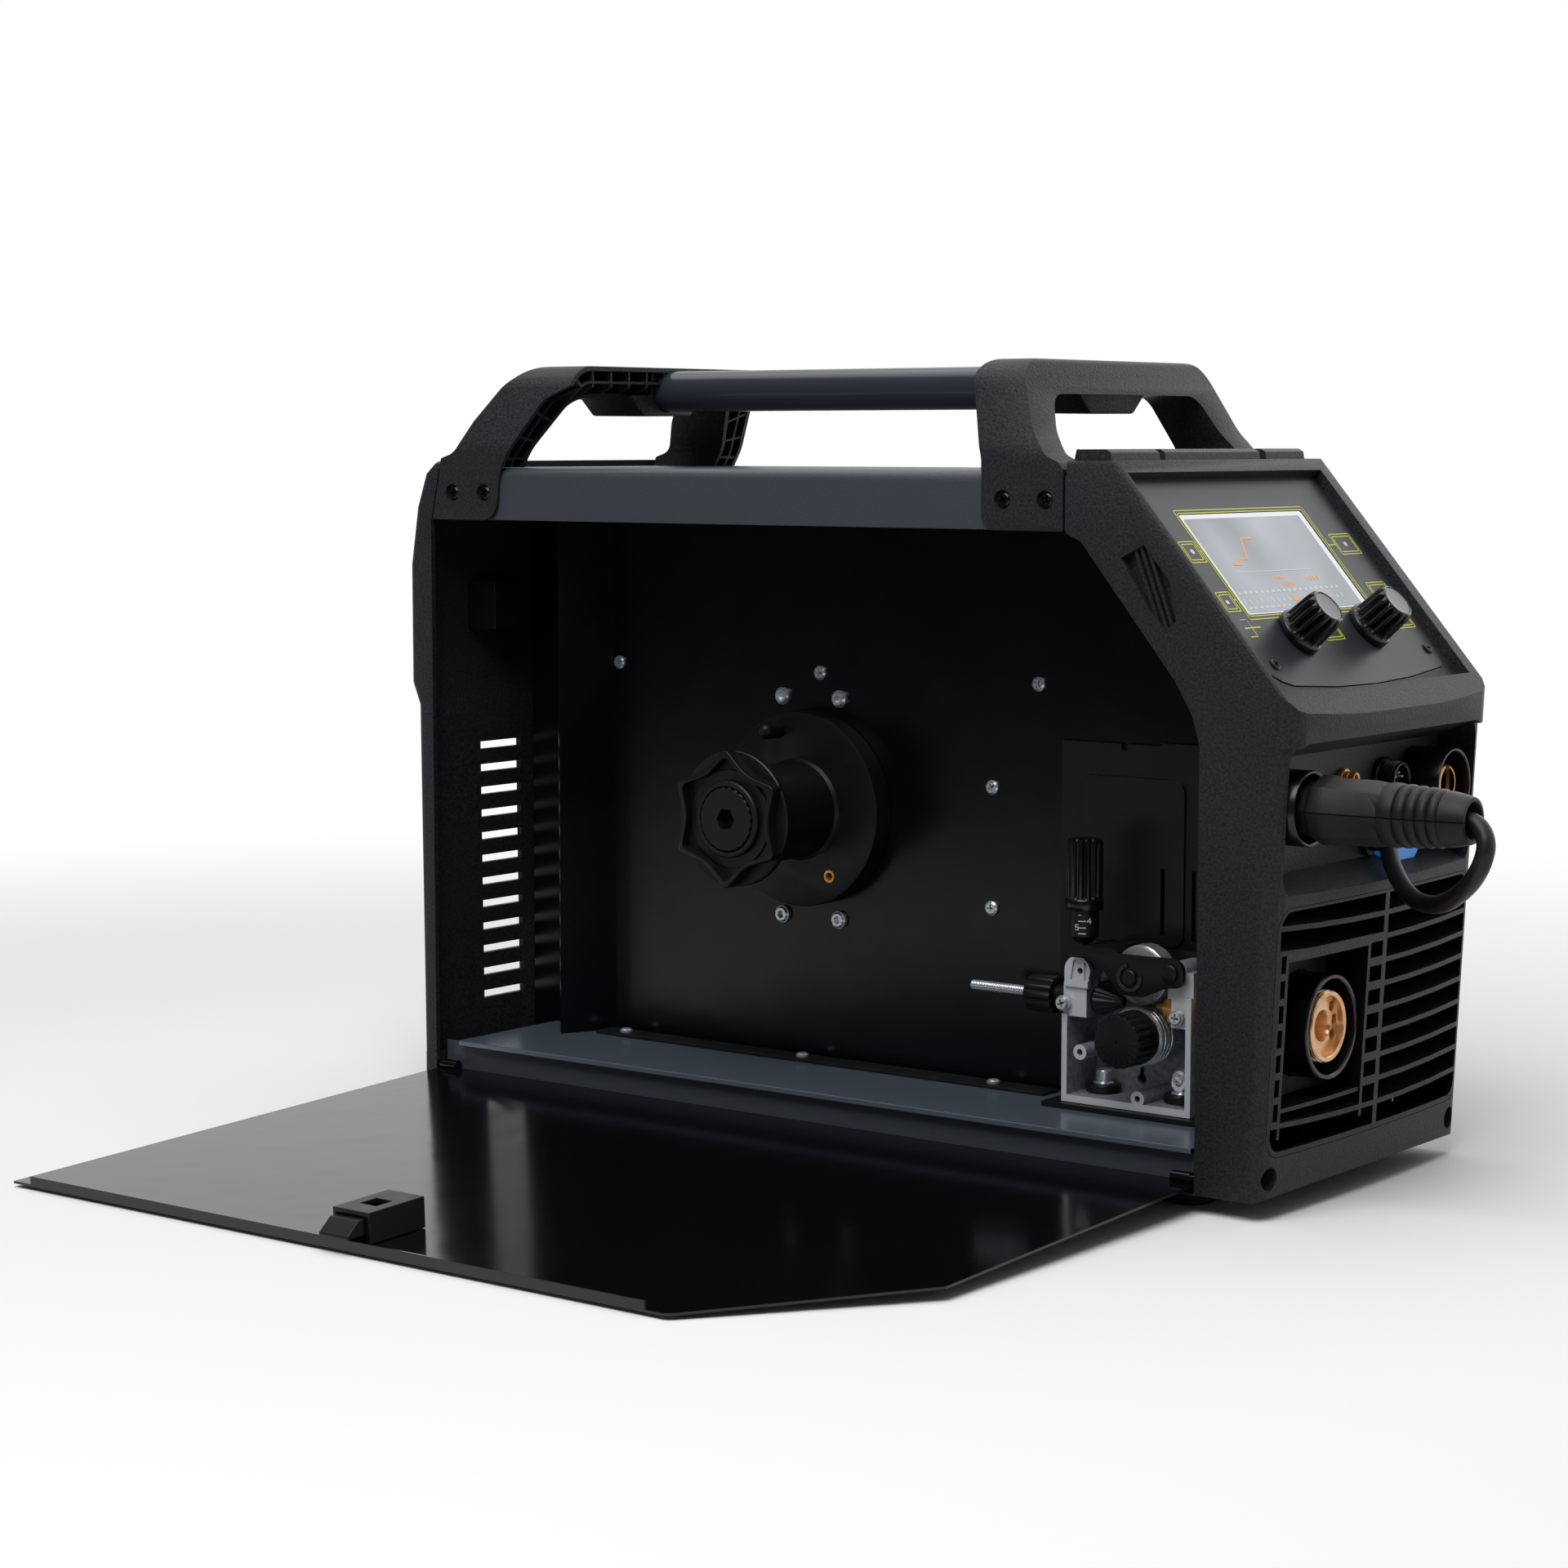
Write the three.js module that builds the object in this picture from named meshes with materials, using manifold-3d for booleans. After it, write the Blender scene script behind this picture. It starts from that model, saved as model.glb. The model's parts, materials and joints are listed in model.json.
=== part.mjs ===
// Compact wire feeder with built-in power source, side door folded down, in millimetres.
// x runs towards the control panel, y away from the door side, z up from the ground.
// The spool hub's axis is at x = 0 and the door side of the case at y = 0.

import * as THREE from 'three';
import { mergeVertices } from 'three/addons/utils/BufferGeometryUtils.js';
import Module from 'manifold-3d';

const wasm = await Module();
wasm.setup();

// Clearances and stock
const gap = 0.3; // between pieces that touch
const runningGap = 0.5; // between a turning piece and what holds it
const sheet = 1.2; // folded sheet steel
const wall = 3; // moulded walls

// Case
const caseWidth = 196;
const caseBottom = 8.6; // underside of the case above the ground
const floorTop = 30; // floor of the spool compartment
const stripBottom = 309.5; // lower edge of the cover beside the door opening
const coverTop = 336.7;
const jointTop = 340.5; // upper end of the joints between cover and bezels
const coverInset = 2.5; // cover side behind the bezels' sides
const coverBend = 5; // outer bend radius of the cover
const rearJoint = -192; // cover to rear bezel
const rearJointLean = 7; // that joint leans forward by this above the strip
const frontJoint = 208; // cover to front bezel
const bulkheadY = 82; // face of the wall between spool side and power side

// Front bezel
const bezelTop = 342;
const ridgeX = 233.5; // where the top turns down into the sloping face
const noseX = 330.6;
const noseTop = 228;
const noseBottom = 215;
const noseOverhang = 3.6; // the nose stands proud of the front face by this
const faceBottomX = 317; // front face at its foot, mid width
const faceLean = 0.049; // the front face leans forward by this per millimetre of height
const faceBow = 4; // mid width stands forward of the corners
const cornerRadius = 8;
const edgeRound = 2.5;
const cheekWidth = 37;
const cheekEdge = faceBottomX - cheekWidth; // rear edge of the bezel's cheek
const cheekPoints = [
  [cheekEdge, 215], [cheekEdge - 4, 228], [cheekEdge - 13, 243],
  [frontJoint + 8, stripBottom - 4.5], [frontJoint, stripBottom - 1],
];

// Control panel, measured down the slope from the ridge
const recessStart = 7.2;
const recessEnd = 135;
const recessNear = 4;
const recessFar = caseWidth - 11;
const recessDepth = 5.3;
const panelProud = 0.5;
const panelThickness = 3;
const glassStart = 28.6;
const glassEnd = 87.5;
const glassNear = 32;
const glassFar = 146;
const knobDown = 100.5;
const knobNear = 61.3;
const knobFar = 128.7;
const knobHeight = 21;
const knobRadius = 12;

// Socket recess in the front
const socketNear = 6;
const socketFar = caseWidth - 7;
const socketLow = 147;
const socketHigh = 217;
const socketPanelX = 302.7; // face that carries the sockets
const socketZ = 187;
const leftSocketY = 24;
const rightSocketY = caseWidth - 32;
const controlSocketCentre = [rightSocketY - 32.4, 190.4];
const socketRadius = 17.3;
const socketLength = 22;
const contactRadius = 9;
const contactBore = 6.5;

// Louvred insert below it
const grilleNear = 4.5;
const grilleFar = caseWidth - 4.5;
const grilleLow = 28.5;
const grilleHigh = 143;
const grilleRadius = 10;
const grilleDepth = 16;
const slatTop = 130.5; // lower front edge of the top slat
const slatPitch = 11.3;
const slatCount = 9;
const slatThickness = 2.6;
const slatRise = 35 * Math.PI / 180;
const barNear = 98.5;
const barWidth = 4;

// Wire line and torch connector
const wireY = 58;
const wireZ = 82.8;
const shroudRadius = 24.5;
const brassRadius = 16.75;
const connectorNear = 14.5;
const connectorFar = 84.5;
const connectorLow = 51;
const connectorHigh = 118;

// Spool hub
const hubZ = 161.2;
const flangeRadius = 50.5;
const flangeFace = 69.3;
const hubRadius = 25;
const hubEnd = 19.8;
const spindleRadius = 9;
const nutFace = 8.9;
const nutTip = 34.5;
const adjusterRadius = 16.5;

// Feed unit
const driveX = 216.4;
const driveZ = 67.8;
const rollRadius = 14.7;
const pressX = 218;
const pressZ = wireZ + 15;
const rollFront = 52;
const rollBack = 64;
const armPivotX = 240.1;
const armPivotZ = 101.8;
const tensionX = 185.5;
const tensionY = 54;
const tensionZ = 97.4;
const sleeveBottom = 110.9;
const feederLeft = 177;
const feederRight = 249;
const feederFront = 48;
const feederBack = 78;
const feederBottom = 33;

// Handle
const handleRise = 52.8; // top of the handle above the cover
const handleTop = coverTop + handleRise;
const beamBottom = handleTop - 16.5;
const tubeRadius = 10.75;
const tubeZ = handleTop - 12.5;
const tubeRear = -122;
const tubeFront = 155;
const legWidth = 18.5;
const bracketBottom = stripBottom - 0.2; // clear of the closed door

// Door
const hingeY = 3;
const hingeZ = 16;
const doorReach = 293; // hinge axis to the door's free edge
const doorSlack = 2.2 * Math.PI / 180; // it hangs this far below level
const doorChamferX = 213.7;
const doorChamferReach = 201.7;
const pinRadius = 2;
const knuckleRadius = 3;
const latchX = 23;
const latchWidth = 22;

// Rear bezel
const rearFace = -208.5;

const colours = {
  coat: 0x3b3f45,
  moulding: 0x2a2b2d,
  panel: 0x36383b,
  gloss: 0x141415,
  dieCast: 0xb0b3b8,
  brass: 0xd9a45c,
  steel: 0xc2c7cc,
  floor: 0x4a5058,
  rubber: 0x1c1c1d,
  glass: 0xb9bdc0,
};

function standard(color, roughness, metalness) {
  return new THREE.MeshStandardMaterial({ color, roughness, metalness });
}

const coat = standard(colours.coat, 0.45, 0.3);
const moulding = standard(colours.moulding, 0.6, 0);
const panelFilm = standard(colours.panel, 0.5, 0);
const gloss = standard(colours.gloss, 0.3, 0);
const dieCast = standard(colours.dieCast, 0.45, 1);
const brass = standard(colours.brass, 0.25, 1);
const steel = standard(colours.steel, 0.3, 1);
const floorSteel = standard(colours.floor, 0.35, 0.6);
const rubber = standard(colours.rubber, 0.8, 0);
const glass = standard(colours.glass, 0.1, 0);

// Solids and how they are joined and cut

function signedVolume(positions, index) {
  const first = new THREE.Vector3();
  const second = new THREE.Vector3();
  const third = new THREE.Vector3();
  let total = 0;
  for (let i = 0; i < index.length; i += 3) {
    first.fromArray(positions, index[i] * 3);
    second.fromArray(positions, index[i + 1] * 3);
    third.fromArray(positions, index[i + 2] * 3);
    total += first.dot(second.cross(third));
  }
  return total / 6;
}

// Solid with its faces outwards; corners that coincide are merged and slivers dropped
function solidOf(geometry) {
  const bare = geometry.clone();
  bare.deleteAttribute('normal');
  bare.deleteAttribute('uv');
  const merged = mergeVertices(bare, 1e-4);
  const positions = Float32Array.from(merged.attributes.position.array);
  const corners = merged.index.array;
  const kept = [];
  for (let i = 0; i < corners.length; i += 3) {
    const face = [corners[i], corners[i + 1], corners[i + 2]];
    if (new Set(face).size === 3) {
      kept.push(...face);
    }
  }
  if (signedVolume(positions, kept) < 0) {
    kept.reverse();
  }
  const triVerts = Uint32Array.from(kept);
  return new wasm.Manifold(new wasm.Mesh({ numProp: 3, vertProperties: positions, triVerts }));
}

function joined(...solids) {
  return solids.flat().reduce((sum, next) => sum.add(next));
}

function without(solid, ...cuts) {
  return cuts.flat().reduce((rest, cut) => rest.subtract(cut), solid);
}

function common(...solids) {
  return solids.flat().reduce((rest, next) => rest.intersect(next));
}

function box(x0, x1, y0, y1, z0, z1) {
  const geometry = new THREE.BoxGeometry(x1 - x0, y1 - y0, z1 - z0);
  geometry.translate((x0 + x1) / 2, (y0 + y1) / 2, (z0 + z1) / 2);
  return solidOf(geometry);
}

// Radius of a flat-sided hole that keeps the gap all round
function clear(radius, sides = 20, space = gap) {
  return (radius + space) / Math.cos(Math.PI / sides);
}

// Turns a shape drawn up the y axis on to the named axis, through the given centre
function stand(geometry, axis, [first, second]) {
  if (axis === 'x') geometry.rotateZ(-Math.PI / 2).translate(0, first, second);
  if (axis === 'y') geometry.translate(first, 0, second);
  if (axis === 'z') geometry.rotateX(Math.PI / 2).translate(first, second, 0);
  return geometry;
}

function rod(axis, centre, radius, from, to, sides = 20) {
  const geometry = new THREE.CylinderGeometry(radius, radius, to - from, sides);
  geometry.translate(0, (from + to) / 2, 0);
  return solidOf(stand(geometry, axis, centre));
}

// Revolves [radius, place along the axis] points; the profile starts and ends on the axis
function turned(axis, centre, profile, sides = 20) {
  const points = profile.map(([radius, along]) => new THREE.Vector2(radius, along));
  const closed = [new THREE.Vector2(0, points[0].y), ...points, new THREE.Vector2(0, points.at(-1).y)];
  return solidOf(stand(new THREE.LatheGeometry(closed, sides), axis, centre));
}

function shapeOf(points) {
  return new THREE.Shape(points.map(([u, v]) => new THREE.Vector2(u, v)));
}

const drawnOn = {
  x: new THREE.Matrix4().makeBasis(
    new THREE.Vector3(0, 1, 0), new THREE.Vector3(0, 0, 1), new THREE.Vector3(1, 0, 0)),
  y: new THREE.Matrix4().makeBasis(
    new THREE.Vector3(1, 0, 0), new THREE.Vector3(0, 0, 1), new THREE.Vector3(0, -1, 0)),
  z: new THREE.Matrix4(),
};

// Extrudes an outline along an axis: drawn in y,z for x, in x,z for y and in x,y for z
function prism(axis, outline, from, to, round = 0) {
  const shape = outline instanceof THREE.Shape ? outline : shapeOf(outline);
  const settings = { depth: to - from - 2 * round, bevelEnabled: round > 0, curveSegments: 4 };
  if (round > 0) Object.assign(settings, roundedEnds(round));
  const geometry = new THREE.ExtrudeGeometry(shape, settings);
  geometry.translate(0, 0, round);
  geometry.applyMatrix4(drawnOn[axis]);
  if (axis === 'x') geometry.translate(from, 0, 0);
  if (axis === 'y') geometry.translate(0, to, 0);
  if (axis === 'z') geometry.translate(0, 0, from);
  return solidOf(geometry);
}

function roundedEnds(round) {
  return { bevelThickness: round, bevelSize: round, bevelOffset: -round, bevelSegments: 2 };
}

function roundedRectangle(u0, v0, u1, v1, radius) {
  const shape = new THREE.Shape();
  shape.moveTo(u0 + radius, v0);
  shape.lineTo(u1 - radius, v0);
  shape.absarc(u1 - radius, v0 + radius, radius, -Math.PI / 2, 0);
  shape.lineTo(u1, v1 - radius);
  shape.absarc(u1 - radius, v1 - radius, radius, 0, Math.PI / 2);
  shape.lineTo(u0 + radius, v1);
  shape.absarc(u0 + radius, v1 - radius, radius, Math.PI / 2, Math.PI);
  shape.lineTo(u0, v0 + radius);
  shape.absarc(u0 + radius, v0 + radius, radius, Math.PI, 1.5 * Math.PI);
  return shape;
}

function moved(solid, matrix) {
  return solid.transform(matrix.elements);
}

const machine = new THREE.Group();

function addTo(group, name, solid, material) {
  const { vertProperties, triVerts } = solid.getMesh();
  const geometry = new THREE.BufferGeometry();
  geometry.setAttribute('position', new THREE.BufferAttribute(vertProperties, 3));
  geometry.setIndex(new THREE.BufferAttribute(triVerts, 1));
  geometry.computeVertexNormals();
  const mesh = new THREE.Mesh(geometry, material);
  mesh.name = name;
  group.add(mesh);
  return mesh;
}

function add(name, solid, material) {
  return addTo(machine, name, solid, material);
}

// Sheet-metal tray under everything
function baseTray() {
  const near = 8;
  const top = floorTop - sheet - gap;
  const length = [rearJoint + gap, cheekEdge - gap];
  const far = caseWidth - coverInset - sheet - gap;
  return joined(
    box(...length, 1, far, caseBottom, caseBottom + sheet),
    box(...length, near, near + sheet, caseBottom, top),
    box(...length, far - sheet, far, caseBottom, top),
  );
}

function floorPlate() {
  const top = floorTop;
  return joined(
    box(-178.8, cheekEdge - 4, 3, bulkheadY - gap, top - sheet, top),
    box(-178.8, cheekEdge - 4, 3, 3 + sheet, top - 3, top),
  );
}

// Wall between the spool side and the power side, with the angled stiffener at its rear
function bulkhead() {
  const low = caseBottom + sheet + gap + 0.3;
  const outline = [
    [-194, low + 2], [rearJoint + 1, low + 2], [rearJoint + 1, low],
    [cheekEdge - 1, low], [cheekEdge - 1, low + 2], [cheekEdge + 7, low + 2],
    [cheekEdge + 7, 215], [cheekEdge - 3, 229], [frontJoint - 18, coverTop - 1.7],
    [-183, coverTop - 1.7], [-194, 320],
  ];
  const plate = prism('y', outline, bulkheadY, bulkheadY + sheet);
  const fold = [[-134, 82], [-148, 51.7], [-149.1, 52.2], [-135.1, 82.6], [-134, 82.6]];
  const stiffener = prism('z', fold, floorTop + gap, stripBottom - 1.5);
  const holes = [
    rod('y', [0, hubZ], spindleRadius + 3, bulkheadY - 1, bulkheadY + 2),
    rod('y', [driveX, driveZ], 21, bulkheadY - 1, bulkheadY + 2),
  ];
  return without(joined(plate, stiffener), holes);
}

// One folded sheet: the strip over the door opening, the top and the whole far side
function topCover() {
  const near = coverInset;
  const far = caseWidth - coverInset;
  const low = caseBottom + sheet + 2 * gap;
  const section = new THREE.Shape();
  section.moveTo(near, stripBottom);
  section.lineTo(near, coverTop - coverBend);
  section.absarc(near + coverBend, coverTop - coverBend, coverBend, Math.PI, Math.PI / 2, true);
  section.lineTo(far - coverBend, coverTop);
  section.absarc(far - coverBend, coverTop - coverBend, coverBend, Math.PI / 2, 0, true);
  section.lineTo(far, low);
  section.lineTo(far - sheet, low);
  const inner = coverBend - sheet;
  section.absarc(far - coverBend, coverTop - coverBend, inner, 0, Math.PI / 2);
  section.absarc(near + coverBend, coverTop - coverBend, inner, Math.PI / 2, Math.PI);
  section.lineTo(near + sheet, stripBottom);
  const folded = prism('x', section, rearJoint - 5, frontJoint + 90);
  const side = [
    [rearJoint + gap, low], [cheekEdge - gap, low],
    ...cheekPoints.map(([x, z]) => [x - gap, z - gap]),
    [frontJoint - gap, jointTop], [rearJoint + rearJointLean + gap, jointTop],
    [rearJoint + gap, stripBottom - 1.5],
  ];
  const trimmed = common(folded, prism('y', side, 0, caseWidth));
  const slots = [];
  for (const x of [-150, -80, 60, 130]) {
    for (let row = 0; row < 6; row += 1) {
      slots.push(box(x, x + 50, far - 5, far + 5, 60 + row * 16, 66 + row * 16));
    }
  }
  return without(trimmed, slots);
}

// Region behind the leaning, bowed front face, set back by the given amount
function behindFace(inset, sideInset = 0) {
  const points = [[0, sideInset]];
  const half = caseWidth / 2;
  const corner = cornerRadius - Math.min(inset, cornerRadius - 1);
  const steps = 6;
  const edge = (y) => faceBottomX - inset - faceBow * ((y - half) / half) ** 2;
  const side = sideInset;
  for (let i = 0; i <= 3; i += 1) {
    const angle = -Math.PI / 2 + (i * Math.PI) / 6;
    const y = side + corner;
    points.push([edge(y) - corner + corner * Math.cos(angle), y + corner * Math.sin(angle)]);
  }
  for (let i = 1; i < steps; i += 1) {
    const y = side + corner + ((caseWidth - 2 * side - 2 * corner) * i) / steps;
    points.push([edge(y), y]);
  }
  for (let i = 0; i <= 3; i += 1) {
    const angle = (i * Math.PI) / 6;
    const y = caseWidth - side - corner;
    points.push([edge(y) - corner + corner * Math.cos(angle), y + corner * Math.sin(angle)]);
  }
  points.push([0, caseWidth - side]);
  const shear = new THREE.Matrix4().set(
    1, 0, faceLean, -faceLean * 11,
    0, 1, 0, 0,
    0, 0, 1, 0,
    0, 0, 0, 1);
  return moved(prism('z', points, 0, 400), shear);
}

// Where the front face stands at a height and a distance from the door side
function faceX(y, z) {
  const half = caseWidth / 2;
  return faceBottomX + faceLean * (z - 11) - faceBow * ((y - half) / half) ** 2;
}

const slopeAngle = Math.atan2(bezelTop - noseTop, noseX - ridgeX);
const slope = new THREE.Matrix4().makeRotationY(slopeAngle).setPosition(ridgeX, 0, bezelTop);

// Panel outline on the slope: down-slope distance, then distance from the door side
function panelShape(margin) {
  const shape = new THREE.Shape();
  const far = recessFar - 4 + margin;
  shape.moveTo(9.5 - margin, 9 - margin);
  shape.lineTo(9.5 - margin, far);
  shape.lineTo(104, far);
  shape.quadraticCurveTo(121 + margin, far, 126.4 + margin, far - 7);
  shape.quadraticCurveTo(136 + margin, 101, 127.8 + margin, 27.7 - margin);
  shape.quadraticCurveTo(123 + margin, 9 - margin, 106, 9 - margin);
  return shape;
}

function frontBezel() {
  const rear = cheekEdge - 40;
  const outline = [
    [frontJoint - 20, bezelTop], [ridgeX, bezelTop], [noseX, noseTop], [noseX + 0.4, noseTop - 6],
    [noseX - 3.6, noseBottom], [faceBottomX + 1, caseBottom + 4], [faceBottomX - 8, caseBottom],
    [rear, caseBottom], [rear, 200], [frontJoint - 20, 260],
  ];
  const noseBand = common(behindFace(-noseOverhang), box(0, 400, 0, caseWidth, noseBottom, 400));
  const block = common(prism('y', outline, 0, caseWidth, edgeRound), joined(behindFace(0), noseBand));
  const cheek = [
    [frontJoint, bezelTop + 1], [noseX + 5, bezelTop + 1], [noseX + 5, caseBottom - 1],
    [cheekEdge, caseBottom - 1], ...cheekPoints,
  ];
  const trimmed = common(block, prism('y', cheek, -1, caseWidth + 1));

  const hollow = [
    [frontJoint + wall, bezelTop - wall], [ridgeX - 1.4, bezelTop - wall],
    [noseX - 3.9, noseTop - 1.2], [noseX - 7, noseBottom], [noseX, caseBottom + wall],
    [190, caseBottom + wall], [190, 333], [frontJoint + wall, 333],
  ];
  const cavity = common(prism('y', hollow, wall, caseWidth - wall), behindFace(wall, wall));

  const linerDepth = recessDepth + panelThickness + 2.5;
  const linerBlock = box(recessStart - 2.5, recessEnd + 2.5, 1, caseWidth - 1, -linerDepth, 1);
  const liner = common(block, moved(linerBlock, slope));
  const recess = joined(
    moved(box(recessStart, recessEnd, recessNear, recessFar, -recessDepth, 5), slope),
    moved(prism('z', panelShape(gap), -recessDepth - panelThickness + panelProud - gap, 5), slope),
    moved(prism('z', panelShape(-5), -linerDepth - 5, 5), slope),
  );

  const socketWell = common(
    prism('y', [[socketPanelX - 10, 155], [socketPanelX, 155], [325, socketLow], [345, socketLow],
      [345, socketHigh], [325, socketHigh], [socketPanelX, 208], [socketPanelX - 10, 208]], 0, caseWidth),
    prism('x', roundedRectangle(socketNear, socketLow, socketFar, socketHigh, 10), 280, 350),
  );
  const wellWalls = common(
    block,
    prism('y', [[socketPanelX, 152.5], [325, socketLow - 2.5], [345, socketLow - 2.5],
      [345, socketHigh + 2.5], [325, socketHigh + 2.5], [socketPanelX, 210.5]], 1, caseWidth - 1),
  );

  const grilleSeat = prism(
    'x', roundedRectangle(grilleNear, grilleLow, grilleFar, grilleHigh, grilleRadius), 290, 350);

  const screwPosts = [9, caseWidth - 10].map((y) => common(block, rod('x', [y, 19.5], 7.4, 300, 330, 24)));
  const screwHoles = [9, caseWidth - 10].map((y) => joined(
    rod('x', [y, 19.5], 5.5, 306, 340, 24), rod('x', [y, 19.5], 2.2, 290, 340, 12)));

  const padSide = [
    [210, bezelTop - 1], [211.5, bezelTop + 5], [227.5, bezelTop + 5], [230, bezelTop + 3.5],
    [231, bezelTop - 2],
  ];
  const pads = [[3, 45], [50, caseWidth - 58], [caseWidth - 52, caseWidth - 14]].map(
    ([from, to]) => prism('y', padSide, from, to));

  const grip = [[237.9, 298], [249.5, 304.1], [263.5, 288], [267, 270], [261.6, 265.8], [252, 276]];
  const gripLiner = prism('y', offsetOutline(grip, 2), 0.5, 6.5);
  const gripPocket = prism('y', grip, -1, 4.5);
  const fins = [0.28, 0.52, 0.76].map((share) => {
    const [x0, z0] = [237.9 + share * 13, 298 + share * 4];
    return common(
      prism('y', [[x0, z0 + 8], [x0 + 1.8, z0 + 8], [x0 + 17.8, z0 - 34], [x0 + 16, z0 - 34]], 1.2, 5),
      prism('y', offsetOutline(grip, 0.5), 0, 6));
  });

  const hingeBoss = box(cheekEdge + 1, cheekEdge + 9, 1, hingeY + 5, hingeZ - 6, hingeZ + 6);
  const hingeHole = rod('x', [hingeY, hingeZ], pinRadius + gap, cheekEdge - 5, cheekEdge + 7.5, 20);

  const shell = joined(without(trimmed, cavity), liner, wellWalls, screwPosts, pads, gripLiner, hingeBoss);
  const cut = without(shell, recess, socketWell, grilleSeat, screwHoles, gripPocket, hingeHole);
  return joined(cut, fins);
}

// Moves each corner of an outline away from its middle
function offsetOutline(points, distance) {
  const share = 1 / points.length;
  const middle = points.reduce((sum, [u, v]) => [sum[0] + u * share, sum[1] + v * share], [0, 0]);
  return points.map(([u, v]) => {
    const [du, dv] = [u - middle[0], v - middle[1]];
    const scale = 1 + distance / Math.hypot(du, dv);
    return [middle[0] + du * scale, middle[1] + dv * scale];
  });
}

// Louvred insert: slats that rise inwards, cut by the bowed face, round the connector's well
function frontGrille() {
  const near = grilleNear + gap;
  const far = grilleFar - gap;
  const low = grilleLow + gap;
  const high = grilleHigh - gap;
  const radius = grilleRadius - gap;
  const plug = prism('x', roundedRectangle(near, low, far, high, radius), 270, 350);
  const opening = roundedRectangle(near + 2.2, low + 2.5, far - 2.5, high - 1.5, radius - 2);
  const frame = without(plug, prism('x', opening, 270, 350));

  const slats = [];
  for (let row = 0; row < slatCount; row += 1) {
    const z = slatTop - row * slatPitch;
    const x = faceX(caseWidth / 2, z);
    const ahead = 8;
    const back = grilleDepth + 4;
    const rise = Math.tan(slatRise);
    slats.push(prism('y', [
      [x + ahead, z - ahead * rise], [x + ahead, z - ahead * rise + slatThickness],
      [x - back, z + back * rise + slatThickness], [x - back, z + back * rise],
    ], near + 1, far - 1));
  }
  const bars = [
    box(290, 350, connectorFar, connectorFar + 2.5, connectorLow - 14, connectorHigh + 3),
    box(290, 350, barNear, barNear + barWidth, low, high),
    box(290, 350, connectorNear - 2, connectorNear, connectorLow - 14, connectorHigh + 3),
    box(290, 350, near, connectorNear - 2, 44, 123),
    box(290, 350, connectorNear - 2, connectorFar + 2, connectorHigh, connectorHigh + 5),
  ];
  const crossBars = [];
  for (let row = 1; row < slatCount - 1; row += 1) {
    const z = slatTop - row * slatPitch;
    crossBars.push(box(290, 350, connectorFar, barNear + 1, z - 0.5, z + 3.6));
  }
  const wellClear = box(270, 350, connectorNear, connectorFar, connectorLow, connectorHigh);
  const gridwork = without(joined(slats), wellClear);
  const face = common(joined(frame, gridwork, bars, crossBars), plug);
  const louvres = without(common(face, behindFace(0)), behindFace(grilleDepth));

  const back = 297;
  const well = without(
    box(back, 318, connectorNear - 2, connectorFar + 2.5, connectorLow - 2, connectorHigh + 2),
    box(back + 3, 330, connectorNear, connectorFar, connectorLow, connectorHigh),
    rod('x', [wireY, wireZ], clear(shroudRadius, 24), back - 5, back + 5, 24),
  );
  const slots = [];
  for (let row = 0; row < 7; row += 1) {
    slots.push(box(280, 350, 8.4, 12.2, 113.5 - row * slatPitch, 121.5 - row * slatPitch));
  }
  return without(joined(louvres, common(well, behindFace(0))), slots);
}

function socketPanel() {
  const plate = box(socketPanelX - gap - 3, socketPanelX - gap, 4, caseWidth - 4, 150.5, 212);
  const collar = rod('x', [cableExit.y, cableExit.z], 6.5, socketPanelX - gap - 1, socketPanelX + 3, 24);
  return without(joined(plate, collar), [
    rod('x', [leftSocketY, socketZ], clear(11), 290, 320),
    rod('x', [rightSocketY, socketZ], clear(11), 290, 320),
    rod('x', controlSocketCentre, clear(8), 290, 320),
    rod('x', [92, 194], clear(4), 290, 320),
  ]);
}

function controlPanel() {
  const top = -recessDepth + panelProud;
  const plate = prism('z', panelShape(0), top - panelThickness, top);
  const pocket = roundedRectangle(glassStart - gap, glassNear - gap, glassEnd + gap, glassFar + gap, 2);
  const glassPocket = prism('z', pocket, top - 1.2, top + 1);
  const shafts = [knobNear, knobFar].map((y) => rod('z', [knobDown, y], 3.5, -20, 5, 24));
  return without(plate, glassPocket, shafts);
}

function displayLens() {
  const top = -recessDepth + panelProud;
  return prism('z', roundedRectangle(glassStart, glassNear, glassEnd, glassFar, 1.7), top - 0.9, top - 0.1);
}

// Fluted knob drawn from its panel upwards, on its own axis
function knob() {
  const flutes = 14;
  const body = turned('z', [0, 0], [
    [knobRadius, gap], [knobRadius, 4], [knobRadius - 0.8, 4.6], [knobRadius - 1.4, knobHeight - 1.5],
    [knobRadius - 2.6, knobHeight],
  ], 24);
  const grooves = [];
  for (let i = 0; i < flutes; i += 1) {
    const angle = (i * 2 * Math.PI) / flutes;
    const reach = knobRadius + 0.5;
    grooves.push(rod('z', [reach * Math.cos(angle), reach * Math.sin(angle)], 1.3, 5, knobHeight + 2, 6));
  }
  const shaft = rod('z', [0, 0], 3, -6, 1, 20);
  return joined(without(body, grooves), shaft);
}

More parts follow.
